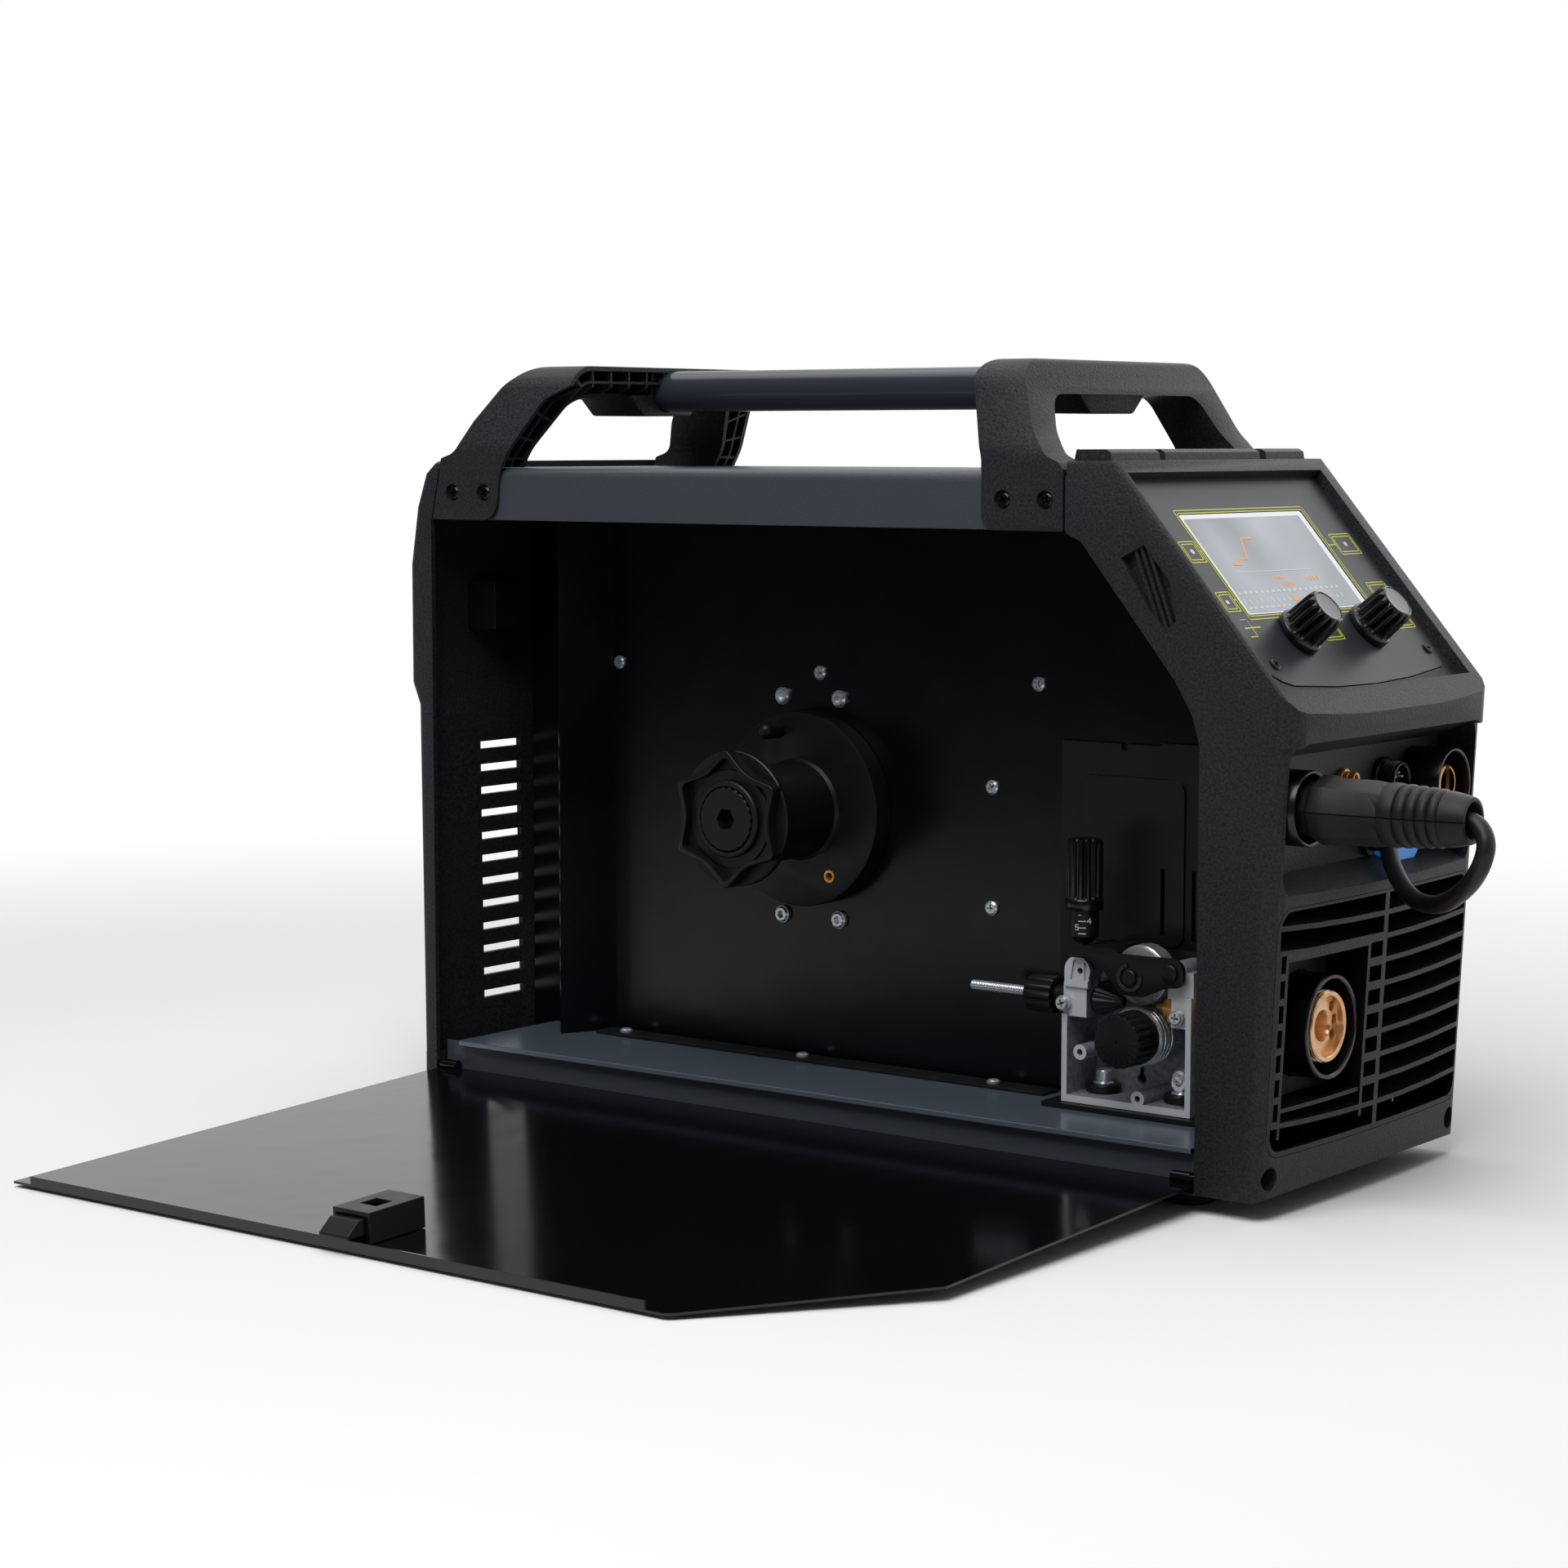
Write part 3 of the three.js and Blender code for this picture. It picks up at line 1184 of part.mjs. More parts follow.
// Door, drawn closed and then turned down about its hinge
function doorPanel() {
  const low = hingeZ - knuckleRadius;
  const high = hingeZ + doorReach;
  const outline = [
    [rearJoint + gap, low], [cheekEdge - gap, low], [cheekEdge - gap, hingeZ + doorChamferReach - 2],
    [doorChamferX - 3.5, high - 2.5], [doorChamferX - 6.7, high], [rearJoint + gap, high],
  ];
  const skin = prism('y', outline, 0, sheet);
  const lip = box(-179.6, 196.8, 0, 5, high - sheet, high);
  const knuckles = [[rearJoint + 3, rearJoint + 13], [cheekEdge - 13, cheekEdge - 3]].map(
    ([from, to]) => rod('x', [hingeY, hingeZ], knuckleRadius, from, to, 24));
  const pins = [
    rod('x', [hingeY, hingeZ], pinRadius, rearJoint - 6, rearJoint + 4, 20),
    rod('x', [hingeY, hingeZ], pinRadius, cheekEdge - 4, cheekEdge + 6, 20),
  ];
  const latchHole = box(latchX - 8.6, latchX + 8.6, -1, 3, hingeZ + 258, hingeZ + 275.6);
  return without(joined(skin, lip, knuckles, pins), latchHole);
}

function latchHousing() {
  const [from, to] = [latchX - latchWidth / 2, latchX + latchWidth / 2];
  const low = hingeZ + 249;
  const high = hingeZ + 284;
  const body = box(from, to, sheet + gap, 15.7, low, high);
  const channel = box(from + 2, to - 2, sheet - 1, 13.4, low + 4, high + 1);
  const window = box(latchX - 5, latchX + 5, 10, 20, low + 14, low + 24);
  return without(body, channel, window);
}

// Spring bolt with a ramp at its tip and a finger pad flush with the door's outside
function latchBolt() {
  const half = latchWidth / 2 - 2 - gap;
  const [from, to] = [latchX - half, latchX + half];
  const slide = box(from, to, sheet + gap, 11, hingeZ + 264, hingeZ + 282);
  const tip = prism('x', [
    [5.6, hingeZ + 280], [5.6, hingeZ + 295.2], [7, hingeZ + 295.2], [12.8, hingeZ + 288],
    [12.8, hingeZ + 280],
  ], from, to);
  const pad = box(latchX - 8, latchX + 8, 0.2, sheet + 1, hingeZ + 267, hingeZ + 275);
  return joined(slide, tip, pad);
}

// Placing

add('base_tray', baseTray(), coat);
add('floor_plate', floorPlate(), floorSteel);
add('bulkhead', bulkhead(), gloss);
add('top_cover', topCover(), coat);
add('front_bezel', frontBezel(), moulding);
add('front_grille', frontGrille(), moulding);
add('socket_panel', socketPanel(), moulding);
add('rear_bezel', rearBezel(), moulding);
add('front_handle_bracket', handleBracket(frontSide, -1, 140, 174), moulding);
add('rear_handle_bracket', handleBracket(rearSide, 1, -149, -107), moulding);
add('handle_tube', handleTube(), gloss);
const footPlaces = [[-165, 26], [-165, caseWidth - 26], [262, 26], [262, caseWidth - 26]];
footPlaces.forEach(([x, y], i) => add(`foot_${i + 1}`, foot(x, y), rubber));
add('seal_strip', sealStrip(), rubber);

add('hub_support', hubSupport(), steel);
add('spool_hub', spoolHub(), moulding);
add('spool_nut', spoolNut(), moulding);
add('brake_adjuster', brakeAdjuster(), moulding);

add('feeder_housing', feederHousing(), dieCast);
add('feeder_base_plate', feederBasePlate(), moulding);
add('isolating_washer_1', isolatingWasher(190.5, 65), moulding);
add('isolating_washer_2', isolatingWasher(235, 64), moulding);
add('gear_motor', gearMotor(), steel);
add('drive_roll', driveRoll(), steel);
add('drive_roll_cap', driveRollCap(), moulding);
add('pressure_arm', pressureArm(), moulding);
add('arm_pivot_pin', armPivotPin(), steel);
add('pressure_roll', pressureRoll(), steel);
add('tension_column', tensionColumn(), moulding);
add('tension_sleeve', tensionSleeve(), moulding);
add('tension_knob', tensionKnob(), moulding);
add('inlet_guide', inletGuide(), moulding);
add('inlet_tube', inletTube(), steel);
add('outlet_guide', outletGuide(), brass);
add('backing_cover', backingCover(), moulding);

add('euro_shroud', euroShroud(), moulding);
add('euro_adaptor', euroAdaptor(), brass);
add('left_socket', currentSocket(leftSocketY), moulding);
add('right_socket', currentSocket(rightSocketY), moulding);
add('left_contact', socketContact(leftSocketY, 316), brass);
add('right_contact', socketContact(rightSocketY, 321), brass);
add('control_socket', controlSocket(), moulding);
add('gas_outlet', gasOutlet(), brass);
add('plug_body', plugBody(), rubber);
add('polarity_cable', polarityCable(), rubber);

add('fan_frame', fanFrame(), moulding);
add('fan_rotor', fanRotor(), moulding);
add('mains_switch', mainsSwitch(), moulding);
const rocker = addTo(machine, 'switch_rocker', switchRocker(), gloss);
rocker.position.set(rearFace + 4, 0, switchZ);
rocker.rotation.y = rockerTilt;
add('mains_gland', mainsGland(), moulding);
add('gas_inlet', gasInlet(), brass);

const slopeGroup = new THREE.Group();
slopeGroup.position.set(ridgeX, 0, bezelTop);
slopeGroup.rotation.y = slopeAngle;
machine.add(slopeGroup);
addTo(slopeGroup, 'control_panel', controlPanel(), panelFilm);
addTo(slopeGroup, 'display_lens', displayLens(), glass);
for (const [name, y] of [['knob_left', knobNear], ['knob_right', knobFar]]) {
  const mesh = addTo(slopeGroup, name, knob(), gloss);
  mesh.position.set(knobDown, y, -recessDepth + panelProud);
}

const doorGroup = new THREE.Group();
doorGroup.position.set(0, hingeY, hingeZ);
doorGroup.rotation.x = Math.PI / 2 + doorSlack;
const doorDrawing = new THREE.Group();
doorDrawing.position.set(0, -hingeY, -hingeZ);
doorGroup.add(doorDrawing);
machine.add(doorGroup);
addTo(doorDrawing, 'door', doorPanel(), gloss);
addTo(doorDrawing, 'latch_housing', latchHousing(), moulding);
addTo(doorDrawing, 'latch_bolt', latchBolt(), moulding);

// The origin is under the middle of the object, leaving out the lead and its plug
const onLead = ['plug_body', 'polarity_cable'];
machine.updateMatrixWorld(true);
const extent = new THREE.Box3();
machine.traverse((item) => {
  if (item.isMesh && !onLead.includes(item.name)) extent.expandByObject(item, true);
});
const middle = extent.getCenter(new THREE.Vector3());
machine.position.set(-middle.x, -middle.y, -extent.min.z);

const part = new THREE.Group();
part.add(machine);
export default part;
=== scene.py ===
"""Looks of a compact wire feeder with its side door folded down.

Sizes are given in millimetres in the drawing frame of the part: x towards the control panel, y away from
the door side, z up, with the hub's axis at x = 0 and the door side of the case at y = 0.
"""

import json
import math

import bmesh
import bpy
from bpy.props import FloatProperty, FloatVectorProperty, IntProperty, PointerProperty
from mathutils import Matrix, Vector

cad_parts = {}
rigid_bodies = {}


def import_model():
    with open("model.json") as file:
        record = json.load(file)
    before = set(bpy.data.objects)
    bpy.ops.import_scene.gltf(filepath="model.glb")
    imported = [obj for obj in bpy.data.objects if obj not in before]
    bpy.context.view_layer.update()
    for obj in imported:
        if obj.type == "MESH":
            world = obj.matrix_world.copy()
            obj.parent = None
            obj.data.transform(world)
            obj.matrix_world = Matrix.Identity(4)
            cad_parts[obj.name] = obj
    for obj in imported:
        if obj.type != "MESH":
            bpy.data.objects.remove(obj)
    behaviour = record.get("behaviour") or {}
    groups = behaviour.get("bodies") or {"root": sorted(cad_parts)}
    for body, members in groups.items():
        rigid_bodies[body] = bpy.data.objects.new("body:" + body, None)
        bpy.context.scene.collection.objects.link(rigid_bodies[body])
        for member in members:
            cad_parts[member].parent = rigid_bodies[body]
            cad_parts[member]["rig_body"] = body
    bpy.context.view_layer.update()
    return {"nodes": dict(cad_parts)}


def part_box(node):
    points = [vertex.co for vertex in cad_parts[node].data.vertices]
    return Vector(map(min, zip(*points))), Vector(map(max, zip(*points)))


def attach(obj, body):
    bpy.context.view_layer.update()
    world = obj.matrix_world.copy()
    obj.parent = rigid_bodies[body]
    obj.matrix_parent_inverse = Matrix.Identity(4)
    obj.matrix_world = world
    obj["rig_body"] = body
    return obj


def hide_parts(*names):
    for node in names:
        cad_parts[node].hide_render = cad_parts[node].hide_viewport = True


bl_info = {
    "name": "Wire feeder",
    "version": (1, 0, 0),
    "blender": (4, 5, 0),
    "location": "View3D > Sidebar > Wire feeder",
    "description": "Dresses the packed wire feeder with finished surfaces, fasteners, print and light",
    "category": "Object",
}

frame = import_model()

# Drawing frame: the hub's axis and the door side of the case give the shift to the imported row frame
hub_low, hub_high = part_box("spool_hub")
SHIFT = Vector(((hub_low.x + hub_high.x) / 2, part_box("front_bezel")[0].y, 0))

CASE_WIDTH = 196
RIDGE_X, BEZEL_TOP = 233.5, 342
NOSE_X, NOSE_TOP = 330.6, 228
SLOPE = math.atan2(BEZEL_TOP - NOSE_TOP, NOSE_X - RIDGE_X)
PANEL_FACE = -4.8
HUB_Z = 161.2
WIRE_Y, WIRE_Z = 58, 82.8
SOCKET_Z = 187

# Directions
CASE_FRONT, UP = (1, 0, 0), (0, 0, 1)
DOOR_SIDE, FAR_SIDE = (0, -1, 0), (0, 1, 0)
SLOPE_NORMAL = (math.sin(SLOPE), 0, math.cos(SLOPE))


def at(x, y, z):
    """Point of the drawing frame, in metres in the row frame."""
    return Vector((x / 1000, y / 1000, z / 1000)) + SHIFT


def on_slope(down, y, up=PANEL_FACE):
    """Point on the sloping face: distance down from the ridge, across, and above the bezel's surface."""
    x = RIDGE_X + down * math.cos(SLOPE) + up * math.sin(SLOPE)
    z = BEZEL_TOP - down * math.sin(SLOPE) + up * math.cos(SLOPE)
    return at(x, y, z)


def linear(code):
    """Linear colour of an sRGB hex value."""
    parts = [int(code[i:i + 2], 16) / 255 for i in (1, 3, 5)]
    return [c / 12.92 if c <= 0.04045 else ((c + 0.055) / 1.055) ** 2.4 for c in parts] + [1.0]


# Materials

def node(tree, kind, inputs=None, **settings):
    """Adds a node to a tree; inputs are plain values or sockets to link."""
    made = tree.nodes.new(kind)
    for name, value in settings.items():
        setattr(made, name, value)
    for name, value in (inputs or {}).items():
        socket = made.inputs[name]
        if isinstance(value, bpy.types.NodeSocket):
            tree.links.new(value, socket)
        else:
            socket.default_value = value
    return made


def finish_of(name, colour, roughness, metallic=0.0, **sockets):
    """Material with a Principled shader; returns it with its tree, shader and object coordinates."""
    material = bpy.data.materials.new(name)
    material.use_nodes = True
    tree = material.node_tree
    shader = tree.nodes["Principled BSDF"]
    shader.inputs["Base Color"].default_value = linear(colour)
    shader.inputs["Roughness"].default_value = roughness
    shader.inputs["Metallic"].default_value = metallic
    for socket, value in sockets.items():
        shader.inputs[socket.replace("_", " ")].default_value = value
    coords = node(tree, "ShaderNodeTexCoord").outputs["Object"]
    return material, tree, shader, coords


def grain(tree, coords, size, detail=2.0, stretch=(1, 1, 1)):
    """Noise whose cells are about size millimetres across."""
    scaled = node(tree, "ShaderNodeMapping", {"Vector": coords, "Scale": stretch}).outputs["Vector"]
    noise = node(tree, "ShaderNodeTexNoise", {"Vector": scaled, "Scale": 1000 / size, "Detail": detail})
    return noise.outputs["Fac"]


def bumped(tree, shader, height, depth):
    """Raises the surface by depth millimetres where height is 1."""
    bump = node(tree, "ShaderNodeBump", {"Height": height, "Strength": 1.0, "Distance": depth / 1000})
    tree.links.new(bump.outputs["Normal"], shader.inputs["Normal"])


def varied(tree, shader, factor, dark, light, low=0.35, high=0.65):
    """Base colour that wanders between two hex colours."""
    ramp = node(tree, "ShaderNodeValToRGB", {"Fac": factor})
    ramp.color_ramp.elements[0].position = low
    ramp.color_ramp.elements[0].color = linear(dark)
    ramp.color_ramp.elements[1].position = high
    ramp.color_ramp.elements[1].color = linear(light)
    tree.links.new(ramp.outputs["Color"], shader.inputs["Base Color"])


def roughened(tree, shader, factor, low, high):
    """Roughness that follows a factor from low to high."""
    spread = node(tree, "ShaderNodeMapRange", {"Value": factor, "To Min": low, "To Max": high})
    tree.links.new(spread.outputs["Result"], shader.inputs["Roughness"])


def powder_coated_steel():
    """Polyester powder coat baked on steel: slate grey with the soft ripple of orange peel."""
    material, tree, shader, coords = finish_of(
        "powder_coated_steel", "#3a3f47", 0.42, Specular_IOR_Level=0.35)
    peel = grain(tree, coords, 1.6, 1.0)
    bumped(tree, shader, peel, 0.06)
    varied(tree, shader, grain(tree, coords, 0.5, 3.0), "#3a4048", "#464c55")
    roughened(tree, shader, grain(tree, coords, 40, 2.0), 0.38, 0.5)
    return material


def spark_textured_abs():
    """ABS moulded in a spark-textured tool: even pits that break up the shine.

    Real pits are finer, near 0.3 mm. They are drawn coarser so that they show at the photograph's distance.
    """
    material, tree, shader, coords = finish_of("spark_textured_abs", "#1e1f22", 0.55, Specular_IOR_Level=0.3)
    pits = grain(tree, coords, 1.3, 3.0)
    bumped(tree, shader, pits, 0.3)
    varied(tree, shader, grain(tree, coords, 1.2, 3.0), "#141518", "#2c2d31", 0.36, 0.64)
    return material


def gloss_moulded_nylon():
    """Nylon moulded in a polished tool: black and shiny with faint flow marks."""
    material, tree, shader, coords = finish_of(
        "gloss_moulded_nylon", "#0d0d0f", 0.24, Specular_IOR_Level=0.4)
    roughened(tree, shader, grain(tree, coords, 12, 3.0), 0.18, 0.34)
    bumped(tree, shader, grain(tree, coords, 5, 2.0), 0.02)
    return material


def satin_moulded_nylon():
    """Glass-filled nylon: black with a satin skin and fibre marks, drawn coarse so that they show."""
    material, tree, shader, coords = finish_of("satin_moulded_nylon", "#111113", 0.4, Specular_IOR_Level=0.3)
    bumped(tree, shader, grain(tree, coords, 1.2, 3.0), 0.05)
    roughened(tree, shader, grain(tree, coords, 8, 3.0), 0.32, 0.5)
    return material


def gloss_painted_steel():
    """Black enamel sprayed on sheet steel: smooth with a long soft ripple."""
    material, tree, shader, coords = finish_of("gloss_painted_steel", "#08090b", 0.14)
    bumped(tree, shader, grain(tree, coords, 22, 1.0), 0.08)
    roughened(tree, shader, grain(tree, coords, 30, 3.0), 0.10, 0.18)
    return material


def semi_gloss_painted_steel():
    """Thin black paint on the inner wall: shines less than the door, with a soft ripple."""
    material, tree, shader, coords = finish_of(
        "semi_gloss_painted_steel", "#06080c", 0.22, Specular_IOR_Level=0.28)
    bumped(tree, shader, grain(tree, coords, 18, 1.0), 0.06)
    roughened(tree, shader, grain(tree, coords, 30, 3.0), 0.18, 0.28)
    return material


def glossy_tube_paint():
    """Dark enamel on the bar: a clean shine with long soft reflections."""
    material, tree, shader, coords = finish_of("glossy_tube_paint", "#2f353e", 0.22)
    roughened(tree, shader, grain(tree, coords, 25, 2.0), 0.16, 0.24)
    return material


def polished_dial_face():
    """Nylon turned smooth on the dials' dished tops: dark grey with a soft sheen."""
    material, tree, shader, coords = finish_of("polished_dial_face", "#303134", 0.28)
    roughened(tree, shader, grain(tree, coords, 3, 2.0), 0.22, 0.34)
    return material


def page_with_painted_sheen():
    """Lit page behind the cover: bluish grey with long brighter patches that are a painted sheen, and a faint
    real sheen from its gloss.
    """
    material, tree, shader, coords = finish_of("page_with_painted_sheen", "#9fa6af", 0.3, Specular_IOR_Level=0.3)
    # The long stretched patches of lighter grey stand for the sheen across the page: painted reflection.
    varied(tree, shader, grain(tree, coords, 70, 1.0, (1, 1.6, 1)), "#868d96", "#b4bbc4", 0.3, 0.7)
    return material


def satin_floor_paint():
    """Bluish grey satin paint on the compartment's floor."""
    material, tree, shader, coords = finish_of("satin_floor_paint", "#5f6b79", 0.24, 0.4)
    bumped(tree, shader, grain(tree, coords, 1.8, 2.0), 0.05)
    return material


def cast_aluminium():
    """Die-cast aluminium from the tool: pale grey skin with flow lines, and pits drawn coarse to show."""
    material, tree, shader, coords = finish_of("cast_aluminium", "#8d9095", 0.42, 0.4)
    bumped(tree, shader, grain(tree, coords, 1.0, 4.0), 0.12)
    varied(tree, shader, grain(tree, coords, 3, 4.0), "#7c7f84", "#9c9fa4")
    roughened(tree, shader, grain(tree, coords, 3, 3.0), 0.34, 0.55)
    return material


def milled_aluminium():
    """Faces of the casting that were milled: pale metal with cutter lines, drawn coarse so that they show."""
    material, tree, shader, coords = finish_of("milled_aluminium", "#d2d5d9", 0.4, 0.35)
    bumped(tree, shader, grain(tree, coords, 0.9, 3.0, (1, 1, 3)), 0.05)
    return material


def louvre_abs_painted_shade():
    """ABS of the louvres' blades with the moulding's pits: a darker copy that hardly shines, which paints
    shade on the blades' faces that turn away from the front.
    """
    material, tree, shader, coords = finish_of("louvre_abs_painted_shade", "#17171a", 0.6, Specular_IOR_Level=0.0)
    bumped(tree, shader, grain(tree, coords, 1.1, 3.0), 0.10)
    return material


def zinc_plated_steel():
    """Bright zinc plate: bluish white metal with turning marks, drawn coarse so that they show."""
    material, tree, shader, coords = finish_of("zinc_plated_steel", "#ccd2d8", 0.26, 0.75)
    roughened(tree, shader, grain(tree, coords, 1.5, 3.0), 0.18, 0.36)
    return material


def ground_steel():
    """Hardened steel ground on its rim: lines round the axis, drawn coarse so that they show."""
    material, tree, shader, coords = finish_of("ground_steel", "#c3c6c9", 0.24, 0.8)
    lines = grain(tree, coords, 0.8, 2.0, (1, 6, 1))
    bumped(tree, shader, lines, 0.02)
    roughened(tree, shader, lines, 0.2, 0.38)
    return material


def turned_brass():
    """Brass bar turned and left bare: warm yellow with tool rings, drawn coarse so that they show."""
    material, tree, shader, coords = finish_of("turned_brass", "#eaaa52", 0.26, 0.5)
    rings = grain(tree, coords, 0.9, 2.0, (5, 1, 1))
    bumped(tree, shader, rings, 0.03)
    varied(tree, shader, grain(tree, coords, 7, 3.0), "#dc9b45", "#f4bb6c")
    return material


def coppery_brass():
    """Red brass of a torch connector: pinkish metal with tool rings, drawn coarse so that they show."""
    material, tree, shader, coords = finish_of("coppery_brass", "#efb982", 0.22, 0.6)
    bumped(tree, shader, grain(tree, coords, 0.9, 2.0, (5, 1, 1)), 0.03)
    varied(tree, shader, grain(tree, coords, 6, 3.0), "#e6ad74", "#f8cfa2")
    return material


def moulded_rubber():
    """Black rubber from a matt tool: dull with a faint bloom and a skin drawn coarser than real."""
    material, tree, shader, coords = finish_of("moulded_rubber", "#111214", 0.5, Specular_IOR_Level=0.3)
    bumped(tree, shader, grain(tree, coords, 0.8, 3.0), 0.06)
    varied(tree, shader, grain(tree, coords, 9, 3.0), "#0f0f10", "#19191b")
    return material


def cable_sheath():
    """Soft PVC drawn over copper strands: black with long shallow waves."""
    material, tree, shader, coords = finish_of("cable_sheath", "#131417", 0.4, Specular_IOR_Level=0.35)
    bumped(tree, shader, grain(tree, coords, 6, 2.0), 0.10)
    roughened(tree, shader, grain(tree, coords, 4, 3.0), 0.36, 0.52)
    return material


def printed_film():
    """Polyester film printed dark grey on its back: even satin face, its tooth drawn coarser than real."""
    material, tree, shader, coords = finish_of("printed_film", "#2c2e32", 0.4, Specular_IOR_Level=0.2)
    bumped(tree, shader, grain(tree, coords, 0.8, 2.0), 0.02)
    varied(tree, shader, grain(tree, coords, 0.6, 2.0), "#282a2e", "#303236")
    return material


def screen_print(name, colour):
    """Ink printed on the film: flat colour with a slight tooth."""
    material, tree, shader, coords = finish_of(name, colour, 0.45)
    bumped(tree, shader, grain(tree, coords, 0.5, 1.0), 0.01)
    return material


def blue_plastic_painted_glow():
    """Bright blue plastic of the lead's bush, with a painted glow: a faint emission keeps its colour in the
    shade of the nose, though the bush is no lamp.
    """
    # Emission of the base colour: painted light on the bush.
    material, tree, shader, coords = finish_of(
        "blue_plastic_painted_glow", "#1b93ea", 0.3, Emission_Strength=0.22)
    shader.inputs["Emission Color"].default_value = linear("#1b93ea")
    roughened(tree, shader, grain(tree, coords, 4, 2.0), 0.22, 0.38)
    return material


def cover_glass():
    """Clear acrylic over a display: it shows the lit page behind and a sheen of the room."""
    material, tree, shader, coords = finish_of("cover_glass", "#d3d7da", 0.12, Coat_Weight=0.6)
    roughened(tree, shader, grain(tree, coords, 18, 2.0), 0.08, 0.18)
    return material


def pale_floor():
    """Matt studio paper: pale where the camera or a shiny face sees it, and white towards the horizon."""
    material = bpy.data.materials.new("pale_floor")
    material.use_nodes = True
    tree = material.node_tree
    tree.nodes.clear()
    coords = node(tree, "ShaderNodeTexCoord").outputs["Object"]
    distance = node(tree, "ShaderNodeVectorMath", {0: coords}, operation="LENGTH").outputs["Value"]
    away = node(tree, "ShaderNodeMapRange", {"Value": distance, "From Min": 0.55, "From Max": 1.5},
                interpolation_type="SMOOTHSTEP").outputs["Result"]
    path = node(tree, "ShaderNodeLightPath").outputs
    seen = node(tree, "ShaderNodeMath", {0: path["Is Camera Ray"], 1: path["Is Glossy Ray"]},
                operation="MAXIMUM").outputs[0]
    colour = node(tree, "ShaderNodeMix", {"Factor": seen, "A": linear("#8c8c8c"), "B": linear("#f4f4f4")},
                  data_type="RGBA").outputs["Result"]
    paper = node(tree, "ShaderNodeBsdfDiffuse", {"Color": colour}).outputs[0]
    white = node(tree, "ShaderNodeEmission", {"Color": (1, 1, 1, 1), "Strength": 1.0}).outputs[0]
    ahead = node(tree, "ShaderNodeSeparateXYZ", {"Vector": coords}).outputs["Y"]
    dim = node(tree, "ShaderNodeMapRange", {
        "Value": ahead, "From Min": -1.3, "From Max": -0.3, "To Min": 0.03, "To Max": 1.0},
        interpolation_type="SMOOTHSTEP").outputs["Result"]
    shiny = node(tree, "ShaderNodeMix", {"Factor": path["Is Glossy Ray"], "A": 1.0, "B": dim},
                 data_type="FLOAT").outputs["Result"]
    dimmed = node(tree, "ShaderNodeEmission", {"Color": (0, 0, 0, 1), "Strength": 0.0}).outputs[0]
    fade = node(tree, "ShaderNodeMath", {0: away, 1: seen}, operation="MULTIPLY").outputs[0]
    mixed = node(tree, "ShaderNodeMixShader", {"Fac": fade, 1: paper, 2: white}).outputs[0]
    faced = node(tree, "ShaderNodeMixShader", {"Fac": shiny, 1: dimmed, 2: mixed}).outputs[0]
    node(tree, "ShaderNodeOutputMaterial", {"Surface": faced})
    return material


FINISHES = {}


def finish(name):
    """The named material, made the first time that it is asked for."""
    makers = {
        "coat": powder_coated_steel,
        "moulding": spark_textured_abs,
        "gloss": gloss_moulded_nylon,
        "satin": satin_moulded_nylon,
        "enamel": gloss_painted_steel,
        "wall_paint": semi_gloss_painted_steel,
        "tube_paint": glossy_tube_paint,
        "dial_face": polished_dial_face,
        "page": page_with_painted_sheen,
        "floor_paint": satin_floor_paint,
        "casting": cast_aluminium,
        "milled": milled_aluminium,
        "louvre_painted_shade": louvre_abs_painted_shade,
        "zinc": zinc_plated_steel,
        "ground": ground_steel,
        "brass": turned_brass,
        "copper": coppery_brass,
        "rubber": moulded_rubber,
        "sheath": cable_sheath,
        "film": printed_film,
        "blue": blue_plastic_painted_glow,
        "glass": cover_glass,
        "yellow_ink": lambda: screen_print("yellow_ink", "#c4c62c"),
        "grey_ink": lambda: screen_print("grey_ink", "#a9abad"),
        "white_ink": lambda: screen_print("white_ink", "#d8d8d4"),
        "orange_ink": lambda: screen_print("orange_ink", "#eea65a"),
        "stage": pale_floor,
    }
    if name not in FINISHES:
        FINISHES[name] = makers[name]()
    return FINISHES[name]


# Mesh making

def new_object(name, mesh, material):
    """Links a mesh as an object at the origin with one material."""
    made = bpy.data.objects.new(name, mesh)
    bpy.context.scene.collection.objects.link(made)
    made.data.materials.clear()
    made.data.materials.append(finish(material))
    return made


def baked(made):
    """Replaces an object that has modifiers by its plain evaluated mesh."""
    bpy.context.view_layer.update()
    graph = bpy.context.evaluated_depsgraph_get()
    mesh = bpy.data.meshes.new_from_object(made.evaluated_get(graph))
    made.modifiers.clear()
    old = made.data
    made.data = mesh
    bpy.data.meshes.remove(old)
    return made


def shaded(mesh, angle=35):
    """Smooth faces with sharp edges above an angle in degrees."""
    mesh.shade_smooth()
    mesh.set_sharp_from_angle(angle=math.radians(angle))


def eased(made, edge, segments=2, angle=32):
    """Merges an object's doubles and flat faces and rounds its edges by some millimetres."""
    work = bmesh.new()
    work.from_mesh(made.data)
    bmesh.ops.remove_doubles(work, verts=work.verts, dist=2e-6)
    bmesh.ops.dissolve_limit(work, angle_limit=math.radians(0.7), verts=work.verts, edges=work.edges)
    work.to_mesh(made.data)
    work.free()
    if "custom_normal" in made.data.attributes:
        made.data.attributes.remove(made.data.attributes["custom_normal"])
    shaded(made.data, angle)
    if edge > 0:
        bevel = made.modifiers.new("edges", "BEVEL")
        bevel.width = edge / 1000
        bevel.segments = segments
        bevel.limit_method = "ANGLE"
        bevel.angle_limit = math.radians(angle)
        bevel.harden_normals = True
        bevel.use_clamp_overlap = True
        baked(made)
    return made


def stands_for(made, *names):
    """Lets a piece take the place of CAD nodes and move with the first one's body."""
    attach(made, frame["nodes"][names[0]]["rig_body"])
    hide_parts(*names)
    return made


